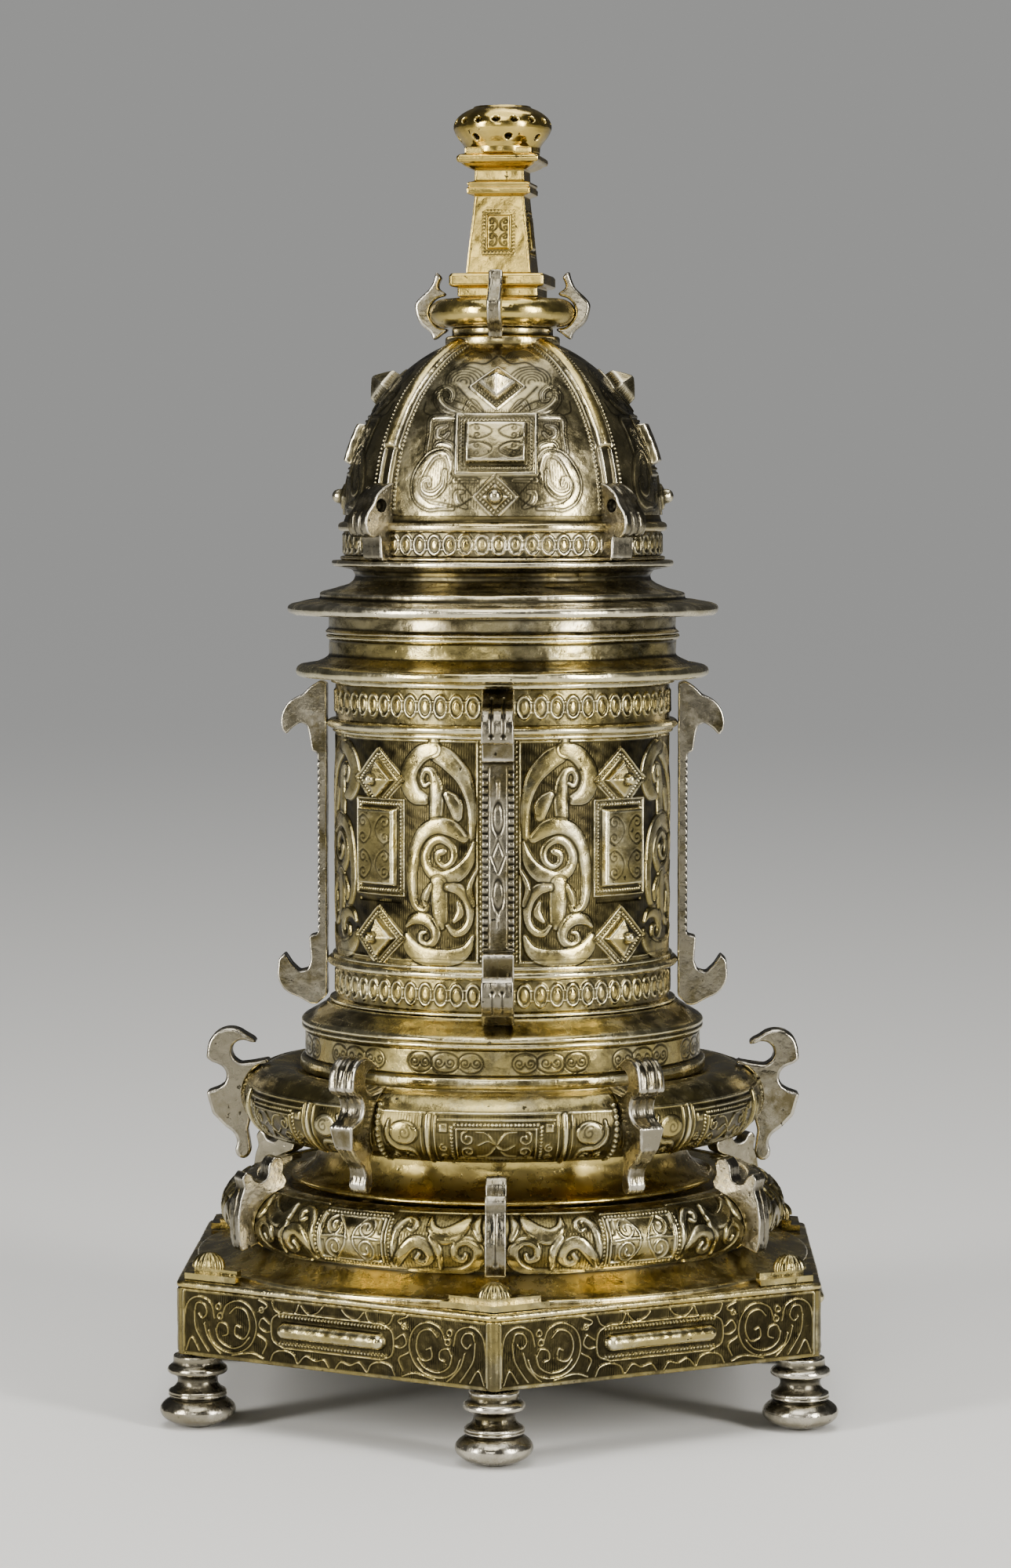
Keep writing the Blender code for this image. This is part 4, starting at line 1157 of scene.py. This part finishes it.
def soft_world():
    """A dim studio, so that the metal has something dark to mirror, against a pale backdrop."""
    world = bpy.data.worlds.new("studio")
    world.use_nodes = True
    bpy.context.scene.world = world
    tree = world.node_tree
    room = tree.nodes["Background"]
    room.inputs["Color"].default_value = (1.0, 1.0, 1.0, 1.0)
    room.inputs["Strength"].default_value = ROOM
    far_floor = FLOOR * (DAYLIGHT / math.pi + ROOM)
    backdrop = linked(tree, "ShaderNodeBackground", Color=(1.0, 1.0, 0.98, 1.0), Strength=far_floor)
    ray = linked(tree, "ShaderNodeLightPath").outputs["Is Camera Ray"]
    mix = linked(tree, "ShaderNodeMixShader", I0=ray, I1=room.outputs[0], I2=backdrop.outputs[0])
    tree.links.new(mix.outputs[0], tree.nodes["World Output"].inputs["Surface"])


def overhead():
    """An even light from straight above, as from a wide diffusing ceiling."""
    light = bpy.data.lights.new("ceiling", "SUN")
    light.energy = DAYLIGHT
    light.angle = math.radians(50)
    lamp = bpy.data.objects.new("ceiling", light)
    lamp.location = (0, 0, 3)
    bpy.context.scene.collection.objects.link(lamp)


def softbox(name, azimuth, distance, height, size, power):
    """A large soft light that faces the middle of the object."""
    light = bpy.data.lights.new(name, "AREA")
    light.shape = "RECTANGLE"
    light.size, light.size_y = size
    light.spread = LAMP_SPREAD
    light.energy = power
    light.color = LAMP_COLOUR
    lamp = bpy.data.objects.new(name, light)
    a = math.radians(azimuth)
    lamp.location = (distance * math.sin(a), -distance * math.cos(a), height)
    lamp.rotation_euler = (AIM - lamp.location).to_track_quat("-Z", "Y").to_euler()
    bpy.context.scene.collection.objects.link(lamp)


def place_camera():
    """The photo's view: from a little right of the front corner and as high as the dome, slightly down."""
    sideways = Vector((math.cos(CAMERA_AZIMUTH), math.sin(CAMERA_AZIMUTH), 0))
    back = Vector((math.sin(CAMERA_AZIMUTH), -math.cos(CAMERA_AZIMUTH), 0))
    data = bpy.data.cameras.new("camera")
    data.sensor_width = 36.0
    data.lens = CAMERA_LENS
    camera = bpy.data.objects.new("camera", data)
    camera.location = back * (CAMERA_DISTANCE * cad_high.z) + sideways * CAMERA_ASIDE
    camera.location.z = CAMERA_HEIGHT * cad_high.z
    camera.rotation_euler = (math.pi / 2 - CAMERA_PITCH, 0, CAMERA_AZIMUTH)
    bpy.context.scene.collection.objects.link(camera)
    bpy.context.scene.camera = camera


# Pieces of the foot


BASE_CORNER = 111.5
BASE_APOTHEM = BASE_CORNER * math.cos(math.pi / 6)
# Tori: radius and height of the middle of the section, and its half width and half height
BASE_TORUS = (75.0, 60.0, 12.0, 10.0)
UPPER_TORUS = (69.5, 94.0, 11.0, 10.7)
SIXTH = 30.02  # half of a sixth of a ring in degrees, and a hair more so that the sheets overlap
CORNERS = [60 * i for i in range(6)]
SIDES = [30 + 60 * i for i in range(6)]


def torus_line(torus, offset, start, end, steps=60):
    """Part of a torus's section, offset outwards."""
    radius, height, wide, tall = torus
    return arc((radius, height), (wide + offset, tall + offset), start, end, steps)


def foot_outline():
    """A ball foot with its collar, neck and flange."""
    ball = arc((0.0, 5.1), (11.5, 5.1), -66, 46, 22)
    collar = [(8.0, 9.1), (8.9, 9.4), (9.0, 9.9), (8.5, 10.2), (8.9, 10.6), (8.8, 11.1), (7.7, 11.5)]
    neck = [(6.6, 12.5), (6.0, 13.7), (6.1, 15.0), (7.2, 16.0)]
    flange = [(8.9, 16.4), (9.2, 17.3), (8.8, 18.3), (7.6, 18.9), (7.3, 19.8), (7.4, 21.8), (0.0, 21.8)]
    return [(0.0, 0.0), (4.4, 0.0)] + ball + collar + neck + flange


def hexagon(angles, apothem, ease=0.35):
    """The radius of a hexagon, its corners eased, at each angle."""
    within = np.mod(angles - FRONT, math.pi / 3) - math.pi / 6
    corner = math.pi / 6 - np.abs(within)
    return apothem / np.cos(within) - ease * bell(corner, 0.008)


def top_plate():
    """The foot's hexagonal top plate, with its rounded edge."""
    angles = np.linspace(0, math.tau, 720, endpoint=False) + FRONT
    edge = [(-0.9, 42.75), (0.0, 42.8), (0.35, 43.1), (0.5, 43.7), (0.35, 44.3), (-0.1, 44.65), (-1.0, 44.8)]
    rows = [(hexagon(angles, BASE_APOTHEM + out), z) for out, z in edge]
    rim = rows[-1][0]
    rows += [(rim * (1 - share) + 93.6 * share, 44.82) for share in np.linspace(0.2, 1.0, 6)]
    waver = unevenness(angles[None, :], np.arange(len(rows))[:, None] * 1.0, 0.06)
    radius = np.array([row for row, _ in rows]) + waver
    height = np.array([[z] for _, z in rows]) + 0.5 * waver
    return surface("top_plate", swept(radius, angles, height), closed_u=True, gold=0.3, worn=0.45)


def side_sheet():
    """One engraved side of the hexagonal foot."""
    half = BASE_CORNER / 2
    s = np.linspace(-half, half, 440)
    z = np.linspace(22.15, 42.75, 83)
    relief = base_relief(s[None, :], z[:, None])
    corner = 0.3 * bell(half - np.abs(s), 0.35)[None, :]
    x = BASE_APOTHEM + relief.height - corner + unevenness(s[None, :] / 9, z[:, None], 0.06) * (corner < 0.01)
    x[0] -= 3.0
    x[-1] -= 1.5
    grid = np.stack([x, np.broadcast_to(s[None, :], x.shape), np.broadcast_to(z[:, None], x.shape)], axis=-1)
    return surface("side_sheet", grid, **relief.layers())


def fluted_fan():
    """The small fluted half dome on a corner."""
    rise = np.radians(np.linspace(0, 88, 22))[:, None]
    angles = np.linspace(0, math.tau, 120, endpoint=False)[None, :]
    flute = 1 + 0.055 * np.cos(16 * angles) * np.cos(rise)
    x = 101.2 + 4.75 * np.cos(rise) * np.cos(angles) * flute
    y = 4.75 * np.cos(rise) * np.sin(angles) * flute
    z = 48.25 + 4.45 * np.sin(rise) + 0 * angles
    # The troughs of the flutes are painted darker, as shade
    dark = 0.5 * (np.cos(16 * angles) < -0.5) * np.ones_like(rise)
    return surface("corner_fan", np.stack([x, y, z], axis=-1), closed_u=True, dark=dark)


def torus_sector(name, torus, start, middle, end, design, radius):
    """A sixth of a torus, whose design has t = 0 at the angle called middle."""
    step = 0.3
    _, along = even(torus_line(torus, 0.0, start, middle), step)
    return relief_sector(name, torus_line(torus, 0.0, start, end), SIXTH, design, radius, step, along[-1])


def build_foot(metal):
    gilt, silver = metal["gilt_engraved"], metal["silver_worn"]
    outline = foot_outline()
    for i in range(1, 7):
        low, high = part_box(f"foot_{i}")
        centre = ((low.x + high.x) / 2 / MM, (low.y + high.y) / 2 / MM)
        turned_solid(f"foot_turned_{i}", outline, centre, silver, [f"foot_{i}"])
    copies("side", side_sheet(), gilt, SIDES, ["base_side_band"])
    placed("plate", top_plate(), gilt, ["base_top_shell"])
    copies("fan", fluted_fan(), gilt, CORNERS)
    cove = [(95.2, 44.7), (95.3, 45.6), (94.6, 46.1)] + arc((94.0, 53.5), (14.0, 7.4), -90, -168, 20)
    line = cove + torus_line(BASE_TORUS, -0.5, -50, 138) + [(64.6, 66.1), (3.0, 66.1)]
    open_turned("base_cove", line, gilt, gold=0.45, worn=0.6)
    mesh = torus_sector("lower_torus", BASE_TORUS, -52, 7, 84, lower_torus_relief, 86.5)
    copies("lower_torus", mesh, gilt, SIDES)
    for i, azimuth in enumerate(CORNERS, 1):
        console(f"base_scroll_{i}", f"base_bracket_{i}", azimuth, silver, drop_cut)


# Worked faces of the castings: how deep the metal is cut at (across, radius, height), in millimetres


def plain_cut(across, radius, height):
    return np.zeros(np.broadcast(across, radius, height).shape)


def line_cut(across, at, width, deep):
    return deep * bell(np.abs(across) - at, width)


def dot_cut(across, height, at, level, size, deep):
    return deep * eased(1.3 - np.hypot(np.abs(across) - at, height - level) / size)


def drop_cut(across, radius, height):
    """A long drop with a dot at each end."""
    shaft = line_cut(across, 0.0, 0.4, 0.35) * (height > 56.5) * (height < 70.5) * (radius > 88)
    dots = dot_cut(across, height, 0, 56.2, 0.9, 0.35) + dot_cut(across, height, 0, 70.6, 0.7, 0.35)
    return np.maximum(shaft, dots * (radius > 88))


def twin_cut(across, _radius, height):
    """Two flutes down the outer face."""
    return line_cut(across, 1.6, 0.4, 0.25) * (height > 98)


def dome_cut(across, radius, height):
    """Two short flutes on the scroll's front."""
    return line_cut(across, 1.4, 0.35, 0.35) * (height < 276) * (height > 268.8) * (radius > 57)


def buttress_cut(across, radius, height):
    """Drops on the upper scroll, a lozenge and gadroons on the bar, flutes on the lower scroll."""
    upper = (height > 204) & (radius > 54)
    drops = line_cut(across, 1.8, 0.4, 0.45) * (height > 209.5) * (height < 220.5)
    drops = np.maximum(drops, dot_cut(across, height, 1.8, 209.4, 1.0, 0.6)) * upper
    bar = (height > 145.5) & (height < 200) & (radius < 60)
    edge = line_cut(across, 2.9, 0.3, 0.4)
    gadroon = 0.42 * (np.abs(across) > 3.1) * np.clip(np.sin(math.tau * height / 2.3) + 0.4, 0, 1)
    lozenge = (np.abs(across) / 1.9 + np.abs(height - 173) / 5.0 - 1) * 1.7
    middle = 0.4 * bell(lozenge, 0.36)
    for level in (161.5, 184.5):
        oval = (np.hypot(across / 1.5, (height - level) / 4.6) - 1) * 1.4
        middle = np.maximum(middle, 0.4 * bell(oval, 0.34))
    for level in (154.0, 192.0):
        middle = np.maximum(middle, line_cut(across, 0.0, 0.35, 0.3) * (np.abs(height - level) < 3.0))
        middle = np.maximum(middle, dot_cut(across, height, 0, level + 3.2, 0.6, 0.3))
    worked_bar = np.maximum(np.maximum(edge, gadroon), middle) * bar
    lower = (height < 143.5) & (radius > 57)
    flutes = line_cut(across, 1.5, 0.35, 0.35) * lower * (height > 126.5) * (height < 133.5)
    flutes = np.maximum(flutes, dot_cut(across, height, 1.5, 133.5, 0.9, 0.45) * lower)
    return np.maximum(np.maximum(drops, worked_bar), flutes)


DOME_SCROLL = (
    (48.2, 284.6), (50.5, 283.8), (53.0, 282.4), (55.2, 280.4), (56.3, 278.2), (57.5, 276.6), (58.9, 275.0),
    (59.5, 272.8), (59.2, 270.4), (57.8, 268.5), (55.8, 267.9), (54.3, 268.6), (53.7, 266.8), (53.6, 264.2),
    (53.2, 261.6), (51.0, 260.9), (48.8, 261.4), (48.0, 265.0), (48.2, 272.0), (48.0, 280.0),
)
DOME_EYE = (53.3, 277.6, 2.1)  # radius, height and reach
LANTERN_SCROLL = (
    (20.6, 349.4), (21.4, 346.6), (22.5, 344.5), (24.2, 342.8), (26.3, 340.7), (27.1, 339.2), (26.9, 337.3),
    (26.3, 335.2), (25.0, 333.1), (22.9, 331.4), (21.9, 330.2), (21.4, 328.6), (20.0, 329.1), (18.5, 330.3),
    (16.8, 331.4), (17.4, 332.0), (20.0, 332.6), (22.0, 334.8), (22.8, 336.9), (22.0, 339.4), (20.2, 341.3),
    (18.0, 342.0), (17.4, 342.7), (18.4, 343.4), (19.7, 344.6), (19.4, 346.2), (18.8, 347.5), (19.4, 348.6),
)


# Pieces of the stem and the chamber


DRUM_RADIUS = 61.5
CHAMBER_RADIUS = 51.8
COLLAR_RADIUS = 53.8
FRIEZE_OVALS = 64
# Rings round the chamber: their lowest and highest heights, and how far they reach
CHAMBER_RINGS = {
    "ring_low": (135.2, 138.1, 54.5),
    "ring_high": (208.8, 211.8, 54.5),
    "ring_low_fine": (138.0, 139.3, 52.9),
    "ring_high_fine": (207.7, 208.9, 52.9),
}


def stem_taper(height):
    return 0.66 + 0.34 * eased((height - 84) / 14)


def build_stem(metal):
    gilt, silver = metal["gilt_engraved"], metal["silver_worn"]
    profile = [(3.0, 68.7), (65.4, 68.7), (66.1, 69.1), (66.2, 69.7), (65.8, 70.4), (65.2, 70.6)]
    profile += arc((66.0, 80.0), (9.0, 9.4), -98, -172, 16)
    profile += [(57.0, 82.9), (55.7, 82.9), (55.7, 79.5), (57.2, 74.0), (61.5, 70.1), (3.0, 70.0)]
    turned("dish_spun", profile, metal["gilt_bright"], ["dish"], step=0.55, rounds=1, waver=0.07, gold=0.9)
    line = [(54.6, 83.2), (63.6, 83.2)] + torus_line(UPPER_TORUS, -0.5, -112, 124) + [(50.0, 102.7)]
    open_turned("upper_moulding", line, gilt, ["upper_torus"], gold=0.3)
    mesh = torus_sector("upper_torus", UPPER_TORUS, -96, -26, 62, upper_torus_relief, 80.0)
    copies("upper_torus", mesh, gilt, CORNERS)
    for i, azimuth in enumerate(SIDES, 1):
        node = f"torus_bracket_{i}"
        console(f"torus_scroll_{i}", node, azimuth, silver, twin_cut, bevel=0.9, taper=stem_taper)

    line = [(60.4, 103.0), (62.4, 103.0), (63.0, 103.7), (63.1, 105.0), (62.9, 106.6), (62.0, 107.0)]
    line += [(61.2, 107.5), (61.2, 115.1), (62.1, 115.5), (62.6, 116.1), (62.5, 116.9), (62.0, 117.2)]
    line += [(62.5, 117.6), (62.6, 118.4), (61.8, 119.3), (58.2, 121.3), (55.2, 123.3), (54.6, 124.0)]
    line += [(3.0, 124.0)]
    open_turned("drum_spun", line, gilt, ["drum"], step=0.35, rounds=1, gold=0.15)
    line = [(DRUM_RADIUS, 107.4), (DRUM_RADIUS, 115.2)]
    relief_ring("drum_band", line, band_relief, gilt, DRUM_RADIUS)


def frieze(name, radius, low, high, middle, finish, count=FRIEZE_OVALS, tall=3.2):
    """A ring with a row of framed ovals."""

    def design(s, z):
        return frieze_relief(s, z, middle, count, math.tau * radius, tall)

    relief_ring(name, [(radius, low), (radius, high)], design, finish, radius)


def build_chamber(metal):
    gilt, silver = metal["gilt_engraved"], metal["silver_worn"]
    shell = [(50.5, 124.3), (51.3, 124.3), (51.3, 224.5), (50.5, 224.5)]
    turned("chamber_shell", shell, gilt, ["chamber_wall"], step=0.8, rounds=1, gold=0.6)
    turned("chamber_foot", [(51.0, 124.3), (53.8, 124.3), (53.9, 125.2), (51.0, 125.7)], gilt)
    turned("chamber_top", [(51.0, 222.5), (53.3, 222.9), (53.4, 224.5), (51.0, 224.5)], gilt)
    for name, (low, high, reach) in CHAMBER_RINGS.items():
        bulge = arc((52.6, (low + high) / 2), (reach - 52.6, (high - low) / 2), -80, 80, 10)
        turned(name, [(51.0, low)] + bulge + [(51.0, high)], gilt, step=0.25, rounds=1, waver=0.07)
    line = [(CHAMBER_RADIUS, 138.6), (CHAMBER_RADIUS, 208.6)]
    mesh = relief_sector("panel", line, 42.0, panel_relief, CHAMBER_RADIUS, 0.25, zero=-138.6)
    copies("panel", mesh, gilt, [45, 135, 225, 315])
    frieze("frieze_low", CHAMBER_RADIUS, 125.4, 135.5, 130.5, gilt)
    frieze("frieze_high", CHAMBER_RADIUS, 211.5, 222.8, 217.3, gilt)
    for i, side in enumerate(("front", "right", "back", "left")):
        console(f"pillar_{side}", f"buttress_{side}", 90 * i, silver, buttress_cut)
    profile = [(50.6, 224.8), (62.6, 224.8), (63.7, 225.4), (64.0, 226.5), (63.7, 227.6), (62.6, 228.4)]
    profile += [(58.0, 229.1), (55.2, 230.4), (54.0, 231.2), (COLLAR_RADIUS, 231.8), (COLLAR_RADIUS, 236.1)]
    profile += [(54.6, 236.6), (54.9, 237.2), (54.6, 237.8), (52.5, 237.8), (52.5, 230.6), (50.6, 229.6)]
    turned("cornice_spun", profile, gilt, ["body_cornice"], rounds=1, waver=0.12)


# Pieces of the lid


DOME_RADIUS, DOME_SPRING, DOME_RISE = 49.0, 274.3, 56.3
DOME_FRIEZE_RADIUS = 49.1
DOME_OVALS = 62
# How far the lid, the lantern's brackets and the finial are turned out of line, in degrees
LID_TURN = -1.3
LANTERN_TURN = -4.7
FINIAL_TURN = -6.7


def dome_line(offset, start, end, steps=90):
    """Part of the dome's section, offset outwards."""
    return arc((0.0, DOME_SPRING), (DOME_RADIUS + offset, DOME_RISE + offset), start, end, steps)


def rise_of(height):
    """How far up the dome's own curve a height lies, in millimetres from its spring."""
    angles = np.linspace(0, math.radians(75), 300)
    lengths = np.cumsum(np.hypot(np.diff(DOME_RADIUS * np.cos(angles)), np.diff(DOME_RISE * np.sin(angles))))
    return float(np.interp(height, DOME_SPRING + DOME_RISE * np.sin(angles), np.concatenate([[0], lengths])))


def dome_sector():
    """A quarter of the dome, with half of a rib at each edge."""
    step = 0.28
    crown = math.degrees(math.acos(17.6 / DOME_RADIUS))
    line, along = even(dome_line(0.0, 0.3, crown), step)
    quarter = math.pi / 4 + 0.0004
    angles = np.linspace(-quarter, quarter, int(2 * quarter * DOME_RADIUS / step))
    points, normals = round_sheet(line, angles)
    s = angles[None, :] * line[:, :1]
    relief = dome_relief(s, along[:, None], rise_of)
    edge = quarter * line[:, :1] - np.abs(s)
    height = np.broadcast_to(line[:, 1:], s.shape)
    relief.ground *= eased((edge - 5.2) / 0.4)
    upper = eased((height - 294.5) / 1.2)
    rib = 2.1 * np.sqrt(np.clip(1 - (edge / 2.5) ** 2, 0, 1)) * upper
    strip = 0.8 * bell(edge - 2.1, 0.45) * (1 - upper) * (height > 282)
    relief.height = np.maximum(relief.height, np.maximum(rib, strip))
    relief.height += 0.45 * bell(edge - 3.5, 0.3) * upper
    # Painted shade in the seam between the lower strips and in the groove along the foot of the upper rib
    relief.dark = np.maximum(relief.dark, 0.8 * (edge < 1.5) * (1 - upper) * (height > 283.5))
    relief.dark = np.maximum(relief.dark, 0.9 * bell(edge - 2.9, 0.3) * upper)
    relief.gold = np.maximum(relief.gold, 0.8 * (edge < 2.0) * upper)
    up = np.linspace(2, along[-1] - 2, 40)
    beside = quarter * np.interp(up, along, line[:, 0]) - 4.7
    for side in (-1, 1):
        relief.beads(np.column_stack([side * beside, up]), 1.35, 0.5, 0.42, 0.5)
    lift = relief.height + unevenness(2 * angles[None, :], along[:, None], 0.06) * eased(edge / 3.0)
    return surface("dome_sector", points + normals * lift[..., None], **relief.layers())


def build_lid(metal):
    gilt, bright, silver = metal["gilt_engraved"], metal["gilt_bright"], metal["silver_worn"]
    profile = [(52.5, 238.1), (54.7, 238.1), (54.9, 238.6), (54.4, 239.1), (COLLAR_RADIUS, 239.6)]
    profile += [(COLLAR_RADIUS, 243.8), (65.4, 244.0), (66.5, 244.7), (66.8, 245.8), (66.4, 246.8)]
    profile += [(65.2, 247.4), (61.0, 248.2), (56.8, 248.8), (56.5, 249.4), (56.6, 250.4), (56.0, 250.9)]
    profile += [(51.5, 252.0), (47.6, 253.4), (46.1, 254.6), (45.7, 256.0), (46.6, 257.6), (50.0, 258.5)]
    profile += [(52.6, 258.9)]
    profile += [(53.0, 259.6), (52.8, 260.6), (44.2, 260.6), (44.2, 254.0), (50.2, 250.6), (52.5, 249.0)]
    turned("lid_cornice_spun", profile, gilt, ["lid_cornice"], step=0.35, rounds=1, waver=0.12)
    profile = [(51.0, 232.0), (52.1, 232.0), (52.1, 247.0), (51.0, 247.0)]
    turned("bezel_spun", profile, bright, ["lid_bezel"], step=0.35, rounds=1, waver=0.03)

    profile = [(47.8, 260.9), (50.2, 260.9), (50.4, 261.4), (50.1, 261.9), (48.7, 262.1), (48.7, 269.5)]
    profile += [(50.3, 269.7), (50.9, 270.3), (50.9, 271.6), (50.4, 272.2), (49.2, 272.6)]
    profile += dome_line(-0.5, 0.5, 68.9, 60) + [(17.7, 327.2), (17.7, 329.0), (17.2, 329.5), (15.6, 329.7)]
    profile += [(15.6, 332.0), (3.0, 332.0), (3.0, 330.7), (14.4, 330.6)] + dome_line(-1.3, 72.0, 0.5, 40)
    turned("dome_shell", profile, gilt, ["dome"], step=0.55, rounds=0, waver=0.03, gold=0.6)
    copies("dome_side", dome_sector(), gilt, [90 * i + LID_TURN for i in range(4)])
    frieze("dome_frieze", DOME_FRIEZE_RADIUS, 262.0, 269.8, 265.8, gilt, DOME_OVALS, 2.8)
    for i in range(1, 5):
        place = (f"dome_scroll_{i}", f"dome_bracket_{i}", 90 * i - 45 + LID_TURN)
        console(*place, silver, dome_cut, step=0.3, outline=DOME_SCROLL, eye=DOME_EYE)
        place = (f"lantern_scroll_{i}", f"lantern_bracket_{i}", 90 * (i - 1) + LANTERN_TURN)
        console(*place, silver, plain_cut, bevel=0.8, step=0.25, outline=LANTERN_SCROLL)
    profile = arc((17.6, 336.7), (5.1, 4.4), -90, 90, 24) + [(3.0, 341.1), (3.0, 339.7)]
    profile += arc((17.6, 336.7), (3.7, 3.0), 90, -90, 12) + [(16.0, 333.7), (16.0, 332.3)]
    turned("lantern_spun", profile, bright, ["lantern_ring"], rounds=1, segments=160, gold=0.5)


# Pieces of the finial


KNOB_RADIUS = 14.5


def square_tower(name, sections, gold):
    """A stack of square sections of the given (half width, height), its arrises worn round."""
    line, along = even([(0.5, sections[0][1]), *sections, (0.5, sections[-1][1])], 0.22, 1)
    run = np.sin(np.linspace(-math.pi / 2, math.pi / 2, 37))[None, :-1]
    from_arris = 1 - np.abs(run)
    parts = []
    for side in range(4):
        x = line[:, :1] - 0.28 * bell(from_arris * line[:, :1], 0.3)
        x = x + unevenness(run / 2, along[:, None], 0.04) * eased(from_arris * 4)
        y = run * (line[:, :1] - 0.28 * (from_arris < 0.02))
        cos, sin = math.cos(side * math.pi / 2), math.sin(side * math.pi / 2)
        parts.append(np.stack([x * cos - y * sin, x * sin + y * cos], axis=-1))
    flat = np.concatenate(parts, axis=1)
    height = np.broadcast_to(line[:, 1][:, None, None], flat.shape[:2] + (1,))
    return surface(name, np.concatenate([flat, height], axis=-1), closed_u=True, gold=gold)


def tablet_sheet():
    """The engraved tablet on a sloping side of the obelisk."""
    s = np.linspace(-5.4, 5.4, 50)
    z = np.linspace(353.6, 368.6, 68)
    relief = tablet_relief(s[None, :], z[:, None], 361.2)
    face = 10.02 - 2.35 * (z - 348.7) / 23.6
    x = face[:, None] + relief.height
    for border_points in (np.s_[0], np.s_[-1], np.s_[:, 0], np.s_[:, -1]):
        x[border_points] -= 0.4
    grid = np.stack([x, np.broadcast_to(s[None, :], x.shape), np.broadcast_to(z[:, None], x.shape)], axis=-1)
    return surface("tablet", grid, gold=0.1, dark=np.clip(relief.dark, 0, 1))


def knob_relief(s, z):
    """Two rows of countersunk holes."""
    r = Relief(s, z)
    around = math.tau * KNOB_RADIUS
    for count, level, shift in ((16, 395.3, 0.7), (8, 390.0, 0.2)):
        for i in range(count):
            centre = ((i + shift) * around / count - around / 2, level)
            where, gap = r.from_oval(centre, (1.35, 1.05))
            r.height[where] = np.minimum(r.height[where], -1.7 * eased(-gap / 0.35))
            # The holes are painted dark, as shade in their depth
            r.soil_and_shade(where, eased(0.2 - gap / 0.25))
    return r


def build_finial(metal):
    gilt = metal["gilt_engraved"]
    low = [(12.3, 341.45), (12.3, 344.2), (13.9, 344.4), (14.6, 345.0), (14.6, 347.7), (14.0, 348.5)]
    placed("plinth_cast", square_tower("plinth_cast", low, 0.2), gilt, ["obelisk_plinth"], FINIAL_TURN)
    high = [(10.0, 348.7), (7.65, 372.2), (8.4, 372.6), (9.7, 373.0), (9.8, 374.6), (9.2, 375.2)]
    high += [(9.7, 375.8), (9.6, 376.4), (7.7, 377.0), (7.6, 380.2), (8.8, 380.6), (10.4, 381.4)]
    high += [(11.3, 382.2), (12.3, 382.5), (12.6, 383.3), (12.5, 384.2), (11.8, 384.8), (10.3, 385.2)]
    high += [(10.2, 387.0)]
    placed("obelisk_cast", square_tower("obelisk_cast", high, 0.1), gilt, ["obelisk"], FINIAL_TURN)
    copies("tablet", tablet_sheet(), gilt, [90 * i + FINIAL_TURN for i in range(4)])
    line = [(0.4, 385.6), (11.5, 385.6), (11.6, 387.4), (12.3, 388.6), (13.6, 390.2), (14.5, 391.6)]
    line += arc((0.0, 393.7), (15.1, 7.2), -8, 53, 30)
    line += [(8.6, 400.0), (7.5, 399.9), (7.3, 398.9), (11.2, 396.2), (13.0, 393.4), (10.6, 389.4)]
    line += [(0.4, 388.9)]
    knob = relief_ring("knob_spun", line, knob_relief, gilt, KNOB_RADIUS, 0.2)
    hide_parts("knob")


def ease_edges(width, *names):
    """Worn edges for the plain CAD pieces that stay."""
    for name in names:
        for node, obj in frame["nodes"].items():
            if node.startswith(name):
                bevel = obj.modifiers.new("worn_edges", "BEVEL")
                bevel.width = width * MM
                bevel.segments = 2
                bevel.limit_method = "ANGLE"


pale_floor()
soft_world()
overhead()
for name, settings in SOFTBOXES.items():
    softbox(name, *settings)
place_camera()

finishes = {body: finishes_for(body) for body in frame["bodies"]}
for node, obj in frame["nodes"].items():
    entry = next(part for part in frame["record"]["subparts"] if part["node"] == node)
    obj.data.materials.clear()
    obj.data.materials.append(finishes[obj["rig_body"]][entry["material_slot"]].material)

build_foot(finishes["stand"])
build_stem(finishes["stand"])
build_chamber(finishes["stand"])
build_lid(finishes["lid"])
build_finial(finishes["finial"])
ease_edges(0.35, "corner_step", "spacer_stud", "tie_rod", "wing_nut", "finial_nut", "base_floor_plate")
